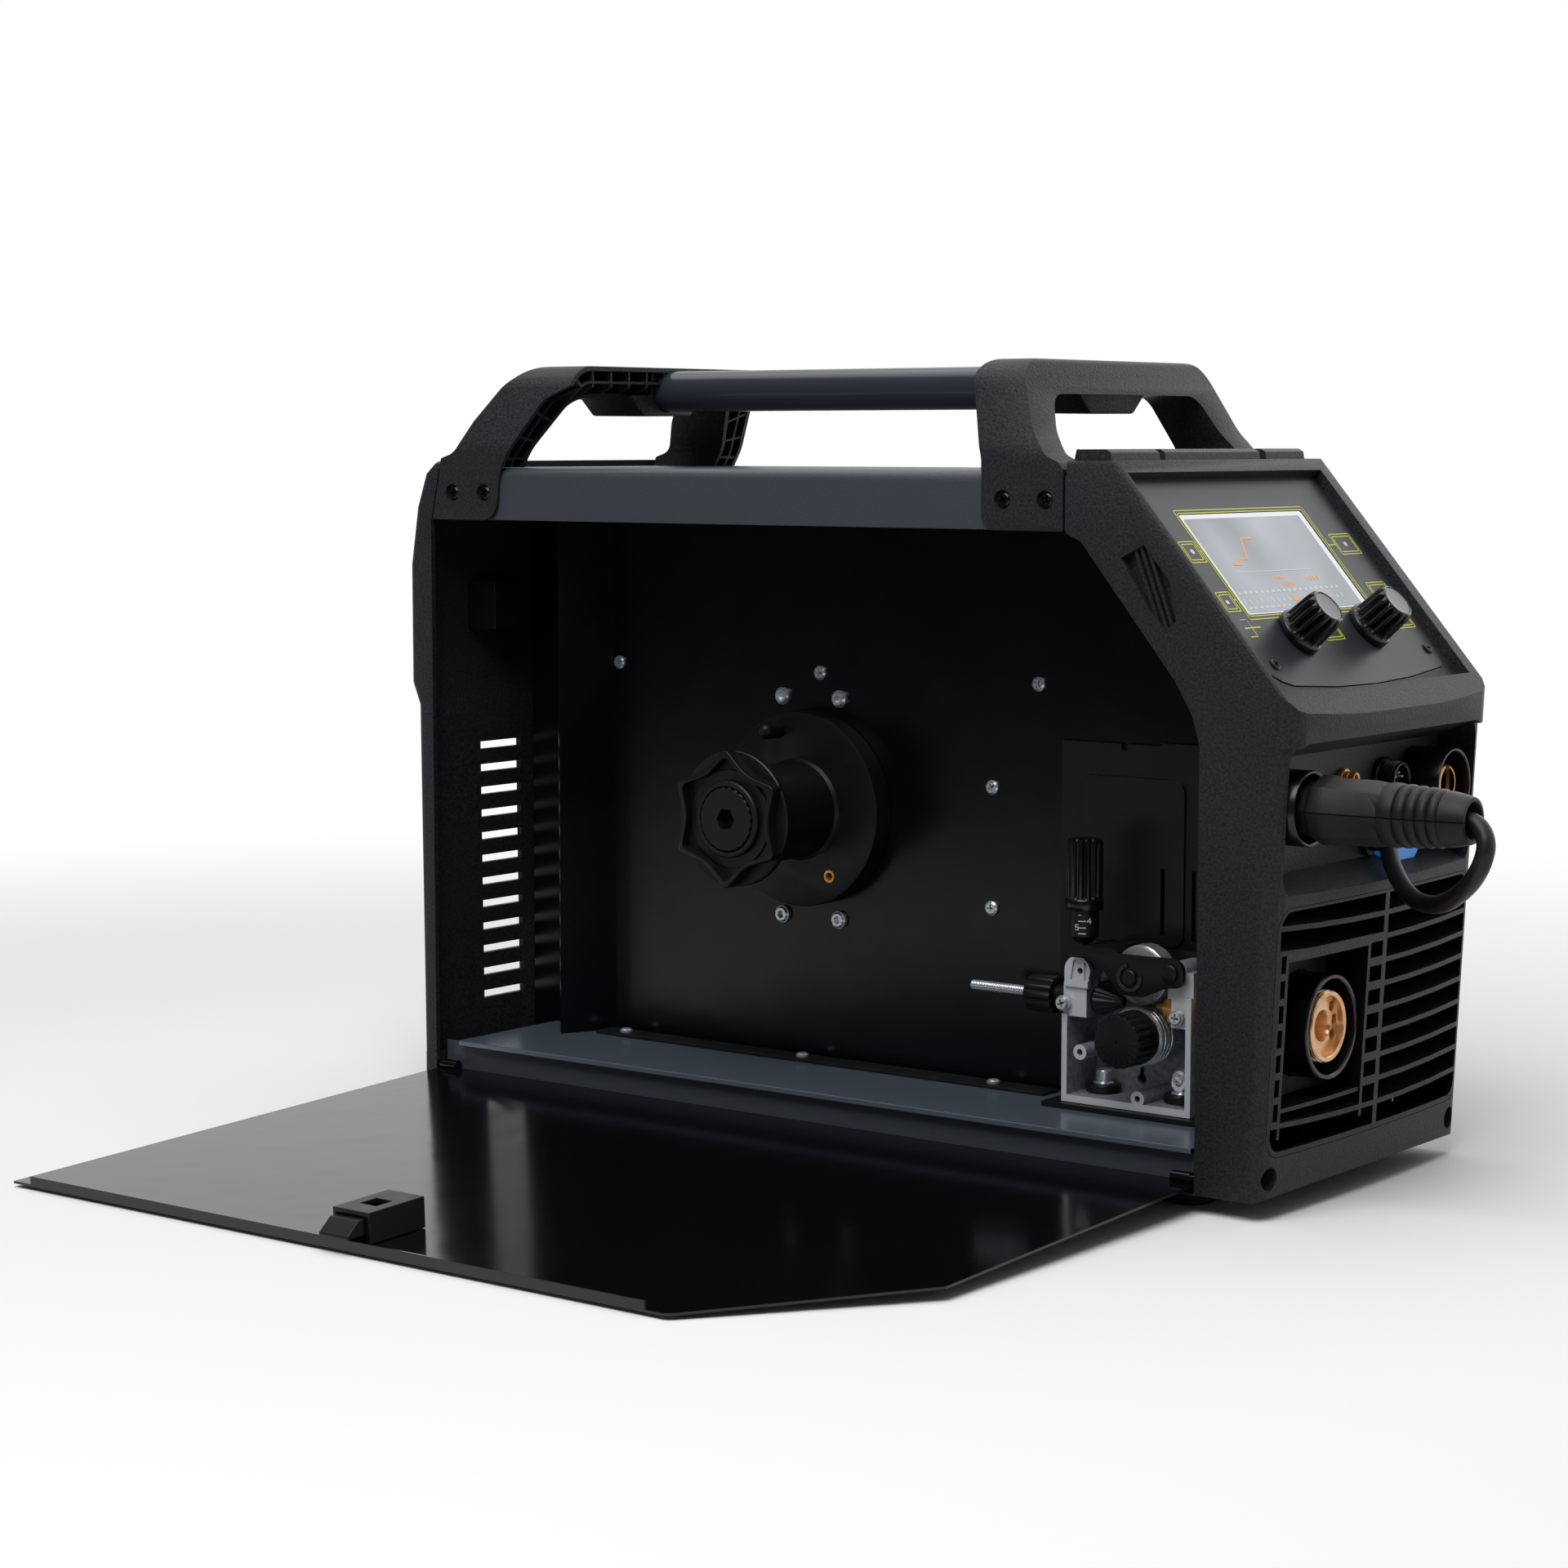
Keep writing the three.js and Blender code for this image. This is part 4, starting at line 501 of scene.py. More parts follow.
def dressed(name, material, edge=0.4, segments=2, angle=32):
    """Copy of a CAD node with its edges eased, standing for the node."""
    made = new_object(name + "_eased", frame["nodes"][name].data.copy(), material)
    return stands_for(eased(made, edge, segments, angle), name)


def combined(base, *steps, edge=0.0, segments=2, angle=32):
    """Joins, cuts or crosses other pieces with a base in turn, and eases the edges that result."""
    for kind, tool in steps:
        step = base.modifiers.new("step", "BOOLEAN")
        step.operation = kind
        step.solver = "MANIFOLD"
        step.object = tool
    baked(base)
    for _, tool in steps:
        mesh = tool.data
        bpy.data.objects.remove(tool)
        bpy.data.meshes.remove(mesh)
    if not base.data.polygons:
        raise RuntimeError(base.name + " has no faces")
    for face in base.data.polygons:
        face.material_index = 0
    while len(base.data.materials) > 1:
        base.data.materials.pop()
    return eased(base, edge, segments, angle)


def mesh_from(name, points, faces, material, angle=35):
    """Object from points in metres and faces, with outward normals."""
    mesh = bpy.data.meshes.new(name)
    mesh.from_pydata([tuple(p) for p in points], [], faces)
    work = bmesh.new()
    work.from_mesh(mesh)
    bmesh.ops.remove_doubles(work, verts=work.verts, dist=1e-7)
    bmesh.ops.recalc_face_normals(work, faces=work.faces)
    work.to_mesh(mesh)
    work.free()
    shaded(mesh, angle)
    return new_object(name, mesh, material)


def across(axis, u, v, along):
    """Point of the drawing frame from two coordinates across an axis and one along it."""
    if axis == "x":
        return at(along, u, v)
    if axis == "y":
        return at(u, along, v)
    return at(u, v, along)


def filleted(corners, steps=6):
    """Outline whose corners, given as (u, v, radius), are rounded."""
    run = []
    for i, (u, v, radius) in enumerate(corners):
        here = Vector((u, v))
        before = Vector(corners[i - 1][:2]) - here
        after = Vector(corners[(i + 1) % len(corners)][:2]) - here
        half = before.angle(after) / 2
        if radius <= 0 or half > math.pi / 2 - 0.01:
            run.append((u, v))
            continue
        reach = min(radius / math.tan(half), before.length * 0.48, after.length * 0.48)
        centre = here + (before.normalized() + after.normalized()).normalized() * (reach / math.cos(half))
        start = here + before.normalized() * reach - centre
        end = here + after.normalized() * reach - centre
        first = math.atan2(start.y, start.x)
        turn = (math.atan2(end.y, end.x) - first + math.pi) % (2 * math.pi) - math.pi
        for k in range(steps + 1):
            angle = first + turn * k / steps
            run.append((centre.x + start.length * math.cos(angle), centre.y + start.length * math.sin(angle)))
    return run


def prism(name, outline, axis, low, high, material="moulding"):
    """Closed prism: an outline across an axis, pushed along it from low to high millimetres."""
    count = len(outline)
    points = [across(axis, u, v, level) for level in (low, high) for u, v in outline]
    faces = [tuple(range(count)), tuple(range(2 * count - 1, count - 1, -1))]
    for i in range(count):
        j = (i + 1) % count
        faces.append((i, j, count + j, count + i))
    return mesh_from(name, points, faces, material)


def block(name, x0, x1, y0, y1, z0, z1, material="moulding"):
    """Plain block between two corners, used as a tool."""
    return prism(name, [(x0, y0), (x1, y0), (x1, y1), (x0, y1)], "z", z0, z1, material)


def round_bar(name, axis, u, v, radius, low, high, material="moulding", sides=48):
    """Plain round bar along an axis, used as a tool."""
    turns = [2 * math.pi * k / sides for k in range(sides)]
    outline = [(u + radius * math.cos(turn), v + radius * math.sin(turn)) for turn in turns]
    return prism(name, outline, axis, low, high, material)


def curve_points(points, count):
    """Points along a centripetal Catmull-Rom curve, evenly spaced in its parameter as the CAD route is."""
    total = len(points) - 1
    made = []
    for step in range(count + 1):
        place = step / count * total
        index = min(int(place), total - 1)
        part = place - index
        p1, p2 = points[index], points[index + 1]
        p0 = points[index - 1] if index > 0 else p1 * 2 - p2
        p3 = points[index + 2] if index + 2 <= total else p2 * 2 - p1
        d0 = max((p1 - p0).length_squared ** 0.25, 1e-4)
        d1 = max((p2 - p1).length_squared ** 0.25, 1e-4)
        d2 = max((p3 - p2).length_squared ** 0.25, 1e-4)
        t1 = (p1 - p0) / d0 - (p2 - p0) / (d0 + d1) + (p2 - p1) / d1
        t2 = (p2 - p1) / d1 - (p3 - p1) / (d1 + d2) + (p3 - p2) / d2
        t1, t2 = t1 * d1, t2 * d1
        square, cube = part * part, part * part * part
        made.append(
            p1 + t1 * part + (-3 * p1 + 3 * p2 - 2 * t1 - t2) * square + (2 * p1 - 2 * p2 + t1 + t2) * cube)
    return made


def tube(name, path, radius, material, sides=20):
    """Closed tube along a path, with frames that turn as little as they can."""
    tangents = []
    for i in range(len(path)):
        ahead = path[min(i + 1, len(path) - 1)]
        behind = path[max(i - 1, 0)]
        tangents.append((ahead - behind).normalized())
    side = tangents[0].orthogonal().normalized()
    points, faces = [], []
    for i, (place, tangent) in enumerate(zip(path, tangents)):
        side = (side - tangent * side.dot(tangent)).normalized()
        other = tangent.cross(side)
        for k in range(sides):
            angle = 2 * math.pi * k / sides
            points.append(place + (side * math.cos(angle) + other * math.sin(angle)) * radius)
        if i:
            low = (i - 1) * sides
            for k in range(sides):
                after = (k + 1) % sides
                faces.append((low + k, low + after, low + sides + after, low + sides + k))
    faces.append(tuple(range(sides - 1, -1, -1)))
    last = (len(path) - 1) * sides
    faces.append(tuple(last + k for k in range(sides)))
    return mesh_from(name, points, faces, material, 60)


def turned_piece(name, origin, axis, profile, material, sides=64, angle=35, flutes=0, groove=0.0):
    """Revolves (radius, along) millimetre points about an axis from an origin in metres.

    A third value in a point is the share of the grooves' depth that is cut there.
    """
    axis = Vector(axis).normalized()
    side = axis.orthogonal().normalized()
    other = axis.cross(side)
    points, rings = [], []
    for radius, along, *share in profile:
        centre = origin + axis * (along / 1000)
        if radius == 0:
            rings.append([len(points)] * sides)
            points.append(centre)
            continue
        rings.append([len(points) + k for k in range(sides)])
        cut = share[0] if share else 0
        for k in range(sides):
            turn = 2 * math.pi * k / sides
            reach = radius - groove * (0.5 + 0.5 * math.cos(flutes * turn)) ** 1.6 * cut
            points.append(centre + (side * math.cos(turn) + other * math.sin(turn)) * (reach / 1000))
    faces = []
    for low, high in zip(rings, rings[1:]):
        for k in range(sides):
            after = (k + 1) % sides
            corners = []
            for corner in (low[k], low[after], high[after], high[k]):
                if corner not in corners:
                    corners.append(corner)
            if len(corners) > 2:
                faces.append(tuple(corners))
    return mesh_from(name, points, faces, material, angle)


def turned_node(name, origin, axis, profile, *settings):
    """Turned piece that takes the place of the CAD node of that name."""
    return stands_for(turned_piece(name + "_eased", origin, axis, profile, *settings), name)


def ribbon(name, runs, width, thickness, lift, material, closed=True, place=on_slope):
    """Flat printed line along runs of (down, across) points on the panel."""
    points, faces = [], []
    for run in runs:
        count = len(run)
        inner, outer = [], []
        for i, (u, v) in enumerate(run):
            before = run[i - 1] if closed or i else run[i]
            after = run[(i + 1) % count] if closed or i < count - 1 else run[i]
            way = Vector((after[0] - before[0], after[1] - before[1])).normalized()
            flank = Vector((-way.y, way.x)) * width / 2
            inner.append((u - flank.x, v - flank.y))
            outer.append((u + flank.x, v + flank.y))
        first = len(points)
        for level in (lift, lift + thickness):
            for ring in (inner, outer):
                points.extend(place(u, v, PANEL_FACE + level) for u, v in ring)
        spans = count if closed else count - 1
        for i in range(spans):
            j = (i + 1) % count
            a, b, c, d = first, first + count, first + 2 * count, first + 3 * count
            faces.append((a + i, a + j, b + j, b + i))
            faces.append((c + i, d + i, d + j, c + j))
            faces.append((a + i, c + i, c + j, a + j))
            faces.append((b + i, b + j, d + j, d + i))
        if not closed:
            for i in (0, count - 1):
                a, b, c, d = first + i, first + count + i, first + 2 * count + i, first + 3 * count + i
                faces.append((a, b, d, c))
    return mesh_from(name, points, faces, material)


def patch(name, outlines, thickness, lift, material, place=on_slope):
    """Flat printed area for each outline of (down, across) points on the panel."""
    points, faces = [], []
    for outline in outlines:
        first = len(points)
        count = len(outline)
        for level in (lift, lift + thickness):
            points.extend(place(u, v, PANEL_FACE + level) for u, v in outline)
        faces.append(tuple(first + i for i in range(count)))
        faces.append(tuple(first + count + i for i in reversed(range(count))))
        for i in range(count):
            j = (i + 1) % count
            faces.append((first + i, first + j, first + count + j, first + count + i))
    return mesh_from(name, points, faces, material)


def rounded_box_run(u0, v0, u1, v1, radius, steps=4):
    """Corner-rounded rectangle as a run of points."""
    run = []
    corners = ((u1 - radius, v1 - radius, 0), (u0 + radius, v1 - radius, 90),
               (u0 + radius, v0 + radius, 180), (u1 - radius, v0 + radius, 270))
    for u, v, start in corners:
        for i in range(steps + 1):
            turn = math.radians(start + 90 * i / steps)
            run.append((u + radius * math.cos(turn), v + radius * math.sin(turn)))
    return run


# Screws by Geometry Nodes

def screw_tree(recess):
    """Head of a screw, instanced at each point and turned to its facing attribute."""
    tree = bpy.data.node_groups.new("screws_" + recess, "GeometryNodeTree")
    face = tree.interface
    face.new_socket("Geometry", in_out="INPUT", socket_type="NodeSocketGeometry")
    for label, value in (("Head radius", 0.0035), ("Head height", 0.002), ("Recess width", 0.001),
                         ("Recess depth", 0.0012)):
        socket = face.new_socket(label, in_out="INPUT", socket_type="NodeSocketFloat")
        socket.default_value = value
        socket.subtype = "DISTANCE"
    face.new_socket("Material", in_out="INPUT", socket_type="NodeSocketMaterial")
    face.new_socket("Geometry", in_out="OUTPUT", socket_type="NodeSocketGeometry")
    given = node(tree, "NodeGroupInput").outputs
    radius, height = given["Head radius"], given["Head height"]
    width, depth = given["Recess width"], given["Recess depth"]

    def times(a, b):
        return node(tree, "ShaderNodeMath", {0: a, 1: b}, operation="MULTIPLY").outputs[0]

    def vector(x, y, z):
        return node(tree, "ShaderNodeCombineXYZ", {"X": x, "Y": y, "Z": z}).outputs[0]

    rim = node(tree, "GeometryNodeMeshCylinder",
               {"Vertices": 28, "Radius": radius, "Depth": times(height, 0.6)})
    rim_up = node(tree, "GeometryNodeTransform",
                  {"Geometry": rim.outputs["Mesh"], "Translation": vector(0.0, 0.0, times(height, 0.3))})
    crown = node(tree, "GeometryNodeMeshCone", {
        "Vertices": 28, "Radius Top": times(radius, 0.74), "Radius Bottom": times(radius, 0.995),
        "Depth": times(height, 0.45)})
    crown_up = node(tree, "GeometryNodeTransform", {
        "Geometry": crown.outputs["Mesh"], "Translation": vector(0.0, 0.0, times(height, 0.55))})
    head = node(tree, "GeometryNodeMeshBoolean", operation="UNION")
    tree.links.new(rim_up.outputs[0], head.inputs["Mesh 2"])
    tree.links.new(crown_up.outputs[0], head.inputs["Mesh 2"])

    tools = []
    if recess == "cross":
        for long_way in (0, 1):
            span = times(radius, 1.15)
            sides = (span, width) if long_way else (width, span)
            bar = node(tree, "GeometryNodeMeshCube", {"Size": vector(*sides, times(depth, 2.0))})
            tools.append(node(tree, "GeometryNodeTransform",
                              {"Geometry": bar.outputs["Mesh"], "Translation": vector(0.0, 0.0, height)}))
    else:
        hexagon = node(tree, "GeometryNodeMeshCylinder",
                       {"Vertices": 6, "Radius": width, "Depth": times(depth, 2.0)})
        tools.append(node(tree, "GeometryNodeTransform",
                          {"Geometry": hexagon.outputs["Mesh"], "Translation": vector(0.0, 0.0, height)}))
    cut = node(tree, "GeometryNodeMeshBoolean", {"Mesh 1": head.outputs["Mesh"]}, operation="DIFFERENCE")
    for tool in tools:
        tree.links.new(tool.outputs[0], cut.inputs["Mesh 2"])

    facing = node(tree, "GeometryNodeInputNamedAttribute", {"Name": "facing"}, data_type="FLOAT_VECTOR")
    spin = node(tree, "GeometryNodeInputNamedAttribute", {"Name": "spin"}, data_type="FLOAT")
    turned = node(tree, "FunctionNodeAlignRotationToVector", {"Vector": facing.outputs[0]}, axis="Z")
    spun = node(tree, "FunctionNodeAxisAngleToRotation", {"Axis": (0, 0, 1), "Angle": spin.outputs[0]})
    both = node(tree, "FunctionNodeRotateRotation",
                {"Rotation": turned.outputs[0], "Rotate By": spun.outputs[0]}, rotation_space="LOCAL")
    copies = node(tree, "GeometryNodeInstanceOnPoints", {
        "Points": given["Geometry"], "Instance": cut.outputs["Mesh"], "Rotation": both.outputs[0]})
    real = node(tree, "GeometryNodeRealizeInstances", {"Geometry": copies.outputs[0]})
    painted = node(tree, "GeometryNodeSetMaterial",
                   {"Geometry": real.outputs[0], "Material": given["Material"]})
    node(tree, "NodeGroupOutput", {"Geometry": painted.outputs[0]})
    return tree


SCREW_TREES = {}


def screws(name, places, body, radius, height, material="zinc", recess="cross", width=0.9, depth=1.1):
    """One mesh of screw heads; places are (point in metres, outward direction) pairs."""
    if recess not in SCREW_TREES:
        SCREW_TREES[recess] = screw_tree(recess)
    mesh = bpy.data.meshes.new(name)
    mesh.from_pydata([tuple(point) for point, _ in places], [], [])
    mesh.attributes.new("facing", "FLOAT_VECTOR", "POINT")
    mesh.attributes.new("spin", "FLOAT", "POINT")
    for i, (_, way) in enumerate(places):
        mesh.attributes["facing"].data[i].vector = Vector(way).normalized()
        mesh.attributes["spin"].data[i].value = 0.35 + i * 1.1
    made = new_object(name, mesh, material)
    group = made.modifiers.new("screws", "NODES")
    group.node_group = SCREW_TREES[recess]
    values = {"Head radius": radius / 1000, "Head height": height / 1000, "Recess width": width / 1000,
              "Recess depth": depth / 1000, "Material": finish(material)}
    for item in group.node_group.interface.items_tree:
        if item.in_out == "INPUT" and item.name in values:
            group[item.identifier] = values[item.name]
    baked(made)
    if not made.data.polygons:
        raise RuntimeError(name + " has no faces")
    shaded(made.data, 30)
    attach(made, body)
    return made


# Cable

CABLE_ROUTE = [
    (396.5, 24, 187), (400.5, 24, 187), (404.8, 23.8, 185.6), (408.7, 22.6, 181.9), (410.8, 21, 177),
    (409.6, 20.6, 170.2), (403.4, 25, 161.6), (392.2, 35, 153.4), (381.8, 44.6, 147.9),
    (371.1, 54.6, 144.4), (361, 64.3, 142.9), (351, 73.9, 142.7), (341.5, 83, 145), (333.5, 91.5, 148.4),
    (326.5, 99.5, 152.6), (320.5, 107, 156.8), (315.6, 114, 160.6), (310.6, 117, 162), (306, 117, 162),
]


# Properties

class CaseFinish(bpy.types.PropertyGroup):
    """Edges and fasteners of the case."""

    edge_radius: FloatProperty(
        name="Edge radius", description="Rounding of moulded edges", default=0.0006, unit="LENGTH",
        subtype="DISTANCE")
    sheet_edge: FloatProperty(
        name="Sheet edge", description="Rounding of sheet metal edges", default=0.0003, unit="LENGTH",
        subtype="DISTANCE")
    screw_radius: FloatProperty(
        name="Screw radius", description="Radius of the case screws' heads", default=0.0037, unit="LENGTH",
        subtype="DISTANCE")


class CableSizes(bpy.types.PropertyGroup):
    """Polarity lead."""

    diameter: FloatProperty(
        name="Cable diameter", description="Outside diameter of the lead", default=0.0084, unit="LENGTH",
        subtype="DISTANCE")
    sides: IntProperty(
        name="Sides", description="Sides of the lead's section", default=24, min=8)


class StageSettings(bpy.types.PropertyGroup):
    """Floor and light."""

    world_colour: FloatVectorProperty(
        name="Room colour", description="Colour of the room's light", default=(1.0, 1.0, 1.0), size=3,
        subtype="COLOR")
    room_strength: FloatProperty(
        name="Room strength", description="Strength of the room's light", default=0.16)
    front_strength: FloatProperty(
        name="Front strength", description="Strength of the room before the object as shiny faces see it",
        default=0.04)
    key_power: FloatProperty(
        name="Key power", description="Power of the large soft lamp", default=28.0, unit="POWER")


# Operators

# The photograph's camera: sensor in millimetres, focal length and picture width in pixels, angles in degrees
SENSOR, FOCAL_PIXELS, PICTURE_PIXELS = 36, 4127.083, 1920
CAMERA_PLACE = (1051.849, -1307.859, 351.318)
CAMERA_DOWN, CAMERA_TURN = 5.831, 37.601

# Half the floor's side in metres, and the point that the lamps face
FLOOR_REACH = 6.0
LAMP_AIM = (50, 60, 150)


class WIREFEEDER_OT_camera(bpy.types.Operator):
    """Camera at the angle of the photograph"""

    bl_idname = "wirefeeder.camera"
    bl_label = "Camera"

    def execute(self, context):
        lens = bpy.data.cameras.new("camera")
        lens.sensor_width = SENSOR
        lens.lens = SENSOR * FOCAL_PIXELS / PICTURE_PIXELS
        lens.clip_start = 0.05
        lens.clip_end = 50
        camera = bpy.data.objects.new("camera", lens)
        camera.location = at(*CAMERA_PLACE)
        camera.rotation_euler = (math.radians(90 - CAMERA_DOWN), 0, math.radians(CAMERA_TURN))
        context.scene.collection.objects.link(camera)
        context.scene.camera = camera
        return {"FINISHED"}


class WIREFEEDER_OT_cable(bpy.types.Operator):
    """Polarity lead from the plug back to the socket panel"""

    bl_idname = "wirefeeder.cable"
    bl_label = "Cable"

    def execute(self, context):
        sizes = context.scene.wire_feeder_cable
        route = [at(*point) for point in CABLE_ROUTE]
        path = curve_points(route, 64)
        cable = tube("polarity_lead", path, sizes.diameter / 2, "sheath", sizes.sides)
        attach(cable, "chassis")
        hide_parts("polarity_cable")
        body = stands_for(plug("plug_body"), "plug_body")
        return {"FINISHED"}


class WIREFEEDER_OT_stage(bpy.types.Operator):
    """Pale floor, soft lamps and the room"""

    bl_idname = "wirefeeder.stage"
    bl_label = "Stage"

    def execute(self, context):
        settings = context.scene.wire_feeder_stage
        corners = [(FLOOR_REACH * u, FLOOR_REACH * v, 0) for u, v in ((-1, -1), (1, -1), (1, 1), (-1, 1))]
        floor = mesh_from("floor", corners, [(0, 1, 2, 3)], "stage")
        world = bpy.data.worlds.new("room")
        context.scene.world = world
        world.use_nodes = True
        tree = world.node_tree
        tree.nodes.clear()
        path = node(tree, "ShaderNodeLightPath").outputs
        shiny = node(tree, "ShaderNodeMath", {0: path["Is Glossy Ray"], 1: path["Is Transmission Ray"]},
                     operation="MAXIMUM").outputs[0]
        way = node(tree, "ShaderNodeTexCoord").outputs["Generated"]
        behind = node(tree, "ShaderNodeVectorMath", {0: way, 1: (0.1, 0.94, 0.3)},
                      operation="DOT_PRODUCT").outputs["Value"]
        backdrop = node(tree, "ShaderNodeMapRange", {
            "Value": behind, "From Min": -0.35, "From Max": 0.5, "To Min": settings.front_strength,
            "To Max": 1.0}, interpolation_type="SMOOTHSTEP").outputs["Result"]
        lit = node(tree, "ShaderNodeMix", {"Factor": shiny, "A": settings.room_strength, "B": backdrop},
                   data_type="FLOAT").outputs["Result"]
        strength = node(tree, "ShaderNodeMix", {"Factor": path["Is Camera Ray"], "A": lit, "B": 1.0},
                        data_type="FLOAT").outputs["Result"]
        room = node(tree, "ShaderNodeBackground",
                    {"Color": list(settings.world_colour) + [1.0], "Strength": strength})
        node(tree, "ShaderNodeOutputWorld", {"Surface": room.outputs[0]})
        lamps = (
            ("key", (350, -1050, 1700), 1.3, settings.key_power),
            ("top", (-250, 250, 1900), 2.0, settings.key_power * 0.5),
            ("back", (200, 1800, 900), 1.6, settings.key_power * 0.35),
        )
        for name, place, width, power in lamps:
            lamp = bpy.data.lights.new(name, "AREA")
            lamp.shape = "SQUARE"
            lamp.size = width
            lamp.energy = power
            holder = bpy.data.objects.new(name, lamp)
            holder.location = at(*place)
            holder.rotation_euler = (at(*LAMP_AIM) - holder.location).to_track_quat("-Z", "Y").to_euler()
            context.scene.collection.objects.link(holder)
        context.scene.view_settings.view_transform = "Standard"
        return {"FINISHED"}


class WIREFEEDER_OT_case(bpy.types.Operator):
    """Sheet metal and moulded shells of the case"""

    bl_idname = "wirefeeder.case"
    bl_label = "Case"

    def execute(self, context):
        settings = context.scene.wire_feeder_case
        moulded = settings.edge_radius * 1000
        sheet = settings.sheet_edge * 1000
        dressed("top_cover", "coat", sheet)
        dressed("base_tray", "coat", sheet)
        dressed("floor_plate", "floor_paint", 1.1, 3)
        dressed("bulkhead", "wall_paint", sheet)
        dressed("front_bezel", "moulding", moulded)
        dressed("rear_bezel", "moulding", moulded)
        dressed("seal_strip", "rubber", 0.3)
        for i in range(1, 5):
            dressed(f"foot_{i}", "rubber", 0.5)
        return {"FINISHED"}


HANDLE_TOP, BEAM_BOTTOM, TUBE_Z = 389.5, 373, 377
FRONT_SIDE = [
    (160.7, 309.3, 7), (206, 309.3, 0.5), (206, 337.6, 1), (203.6, 340.9, 3), (196, 344.4, 8),
    (187, 355.6, 30), (176.4, 379, 20), (172.6, 389.5, 3.5), (149, 389.5, 7), (146.5, 383, 8),
    (160.7, 343, 14),
]
REAR_SIDE = [
    (-191.3, 309.3, 1), (-146, 309.3, 10), (-143.5, 334, 30), (-133, 352, 30), (-121, 372, 14),
    (-105, 379, 0.5), (-105, 389.5, 0.5), (-139, 389.5, 15), (-151, 380, 30), (-166, 361, 25),
    (-175, 344.6, 10), (-184.4, 341.6, 1),
]
HANDLE_SCREWS = ((172.6, 323.7), (196.2, 323.7), (-176.4, 323.6), (-154.3, 323.8))


def arch_path(margin, inside=False):
    """Half of the arch's outline from its near foot to its top, moved into the wall by a margin."""
    if inside:
        return [(18.5 - margin, 336.9, 0), (18.5 - margin, 346 + 0.25 * margin, 25),
                (33 - 0.6 * margin, BEAM_BOTTOM + margin, 13 + margin)]
    return [(margin, 336.9, 0), (margin, 346 - 0.2 * margin, 40 - margin),
            (16.8 + 0.7 * margin, HANDLE_TOP - margin, 20 - margin)]


def mirrored(path):
    """The same points on the far side of the case, in reverse order."""
    return [(CASE_WIDTH - u, v, radius) for u, v, radius in reversed(path)]


def arch_band(first, second):
    """Closed outline between two half paths and their mirror images."""
    return filleted(first + mirrored(first) + list(reversed(mirrored(second))) + list(reversed(second)), 10)


def plank(start, end, thickness=1.3):
    """Outline of a straight rib between two points."""
    way = Vector((end[0] - start[0], end[1] - start[1])).normalized() * thickness / 2
    return [(start[0] + way.y, start[1] - way.x), (end[0] + way.y, end[1] - way.x),
            (end[0] - way.y, end[1] + way.x), (start[0] - way.y, start[1] + way.x)]


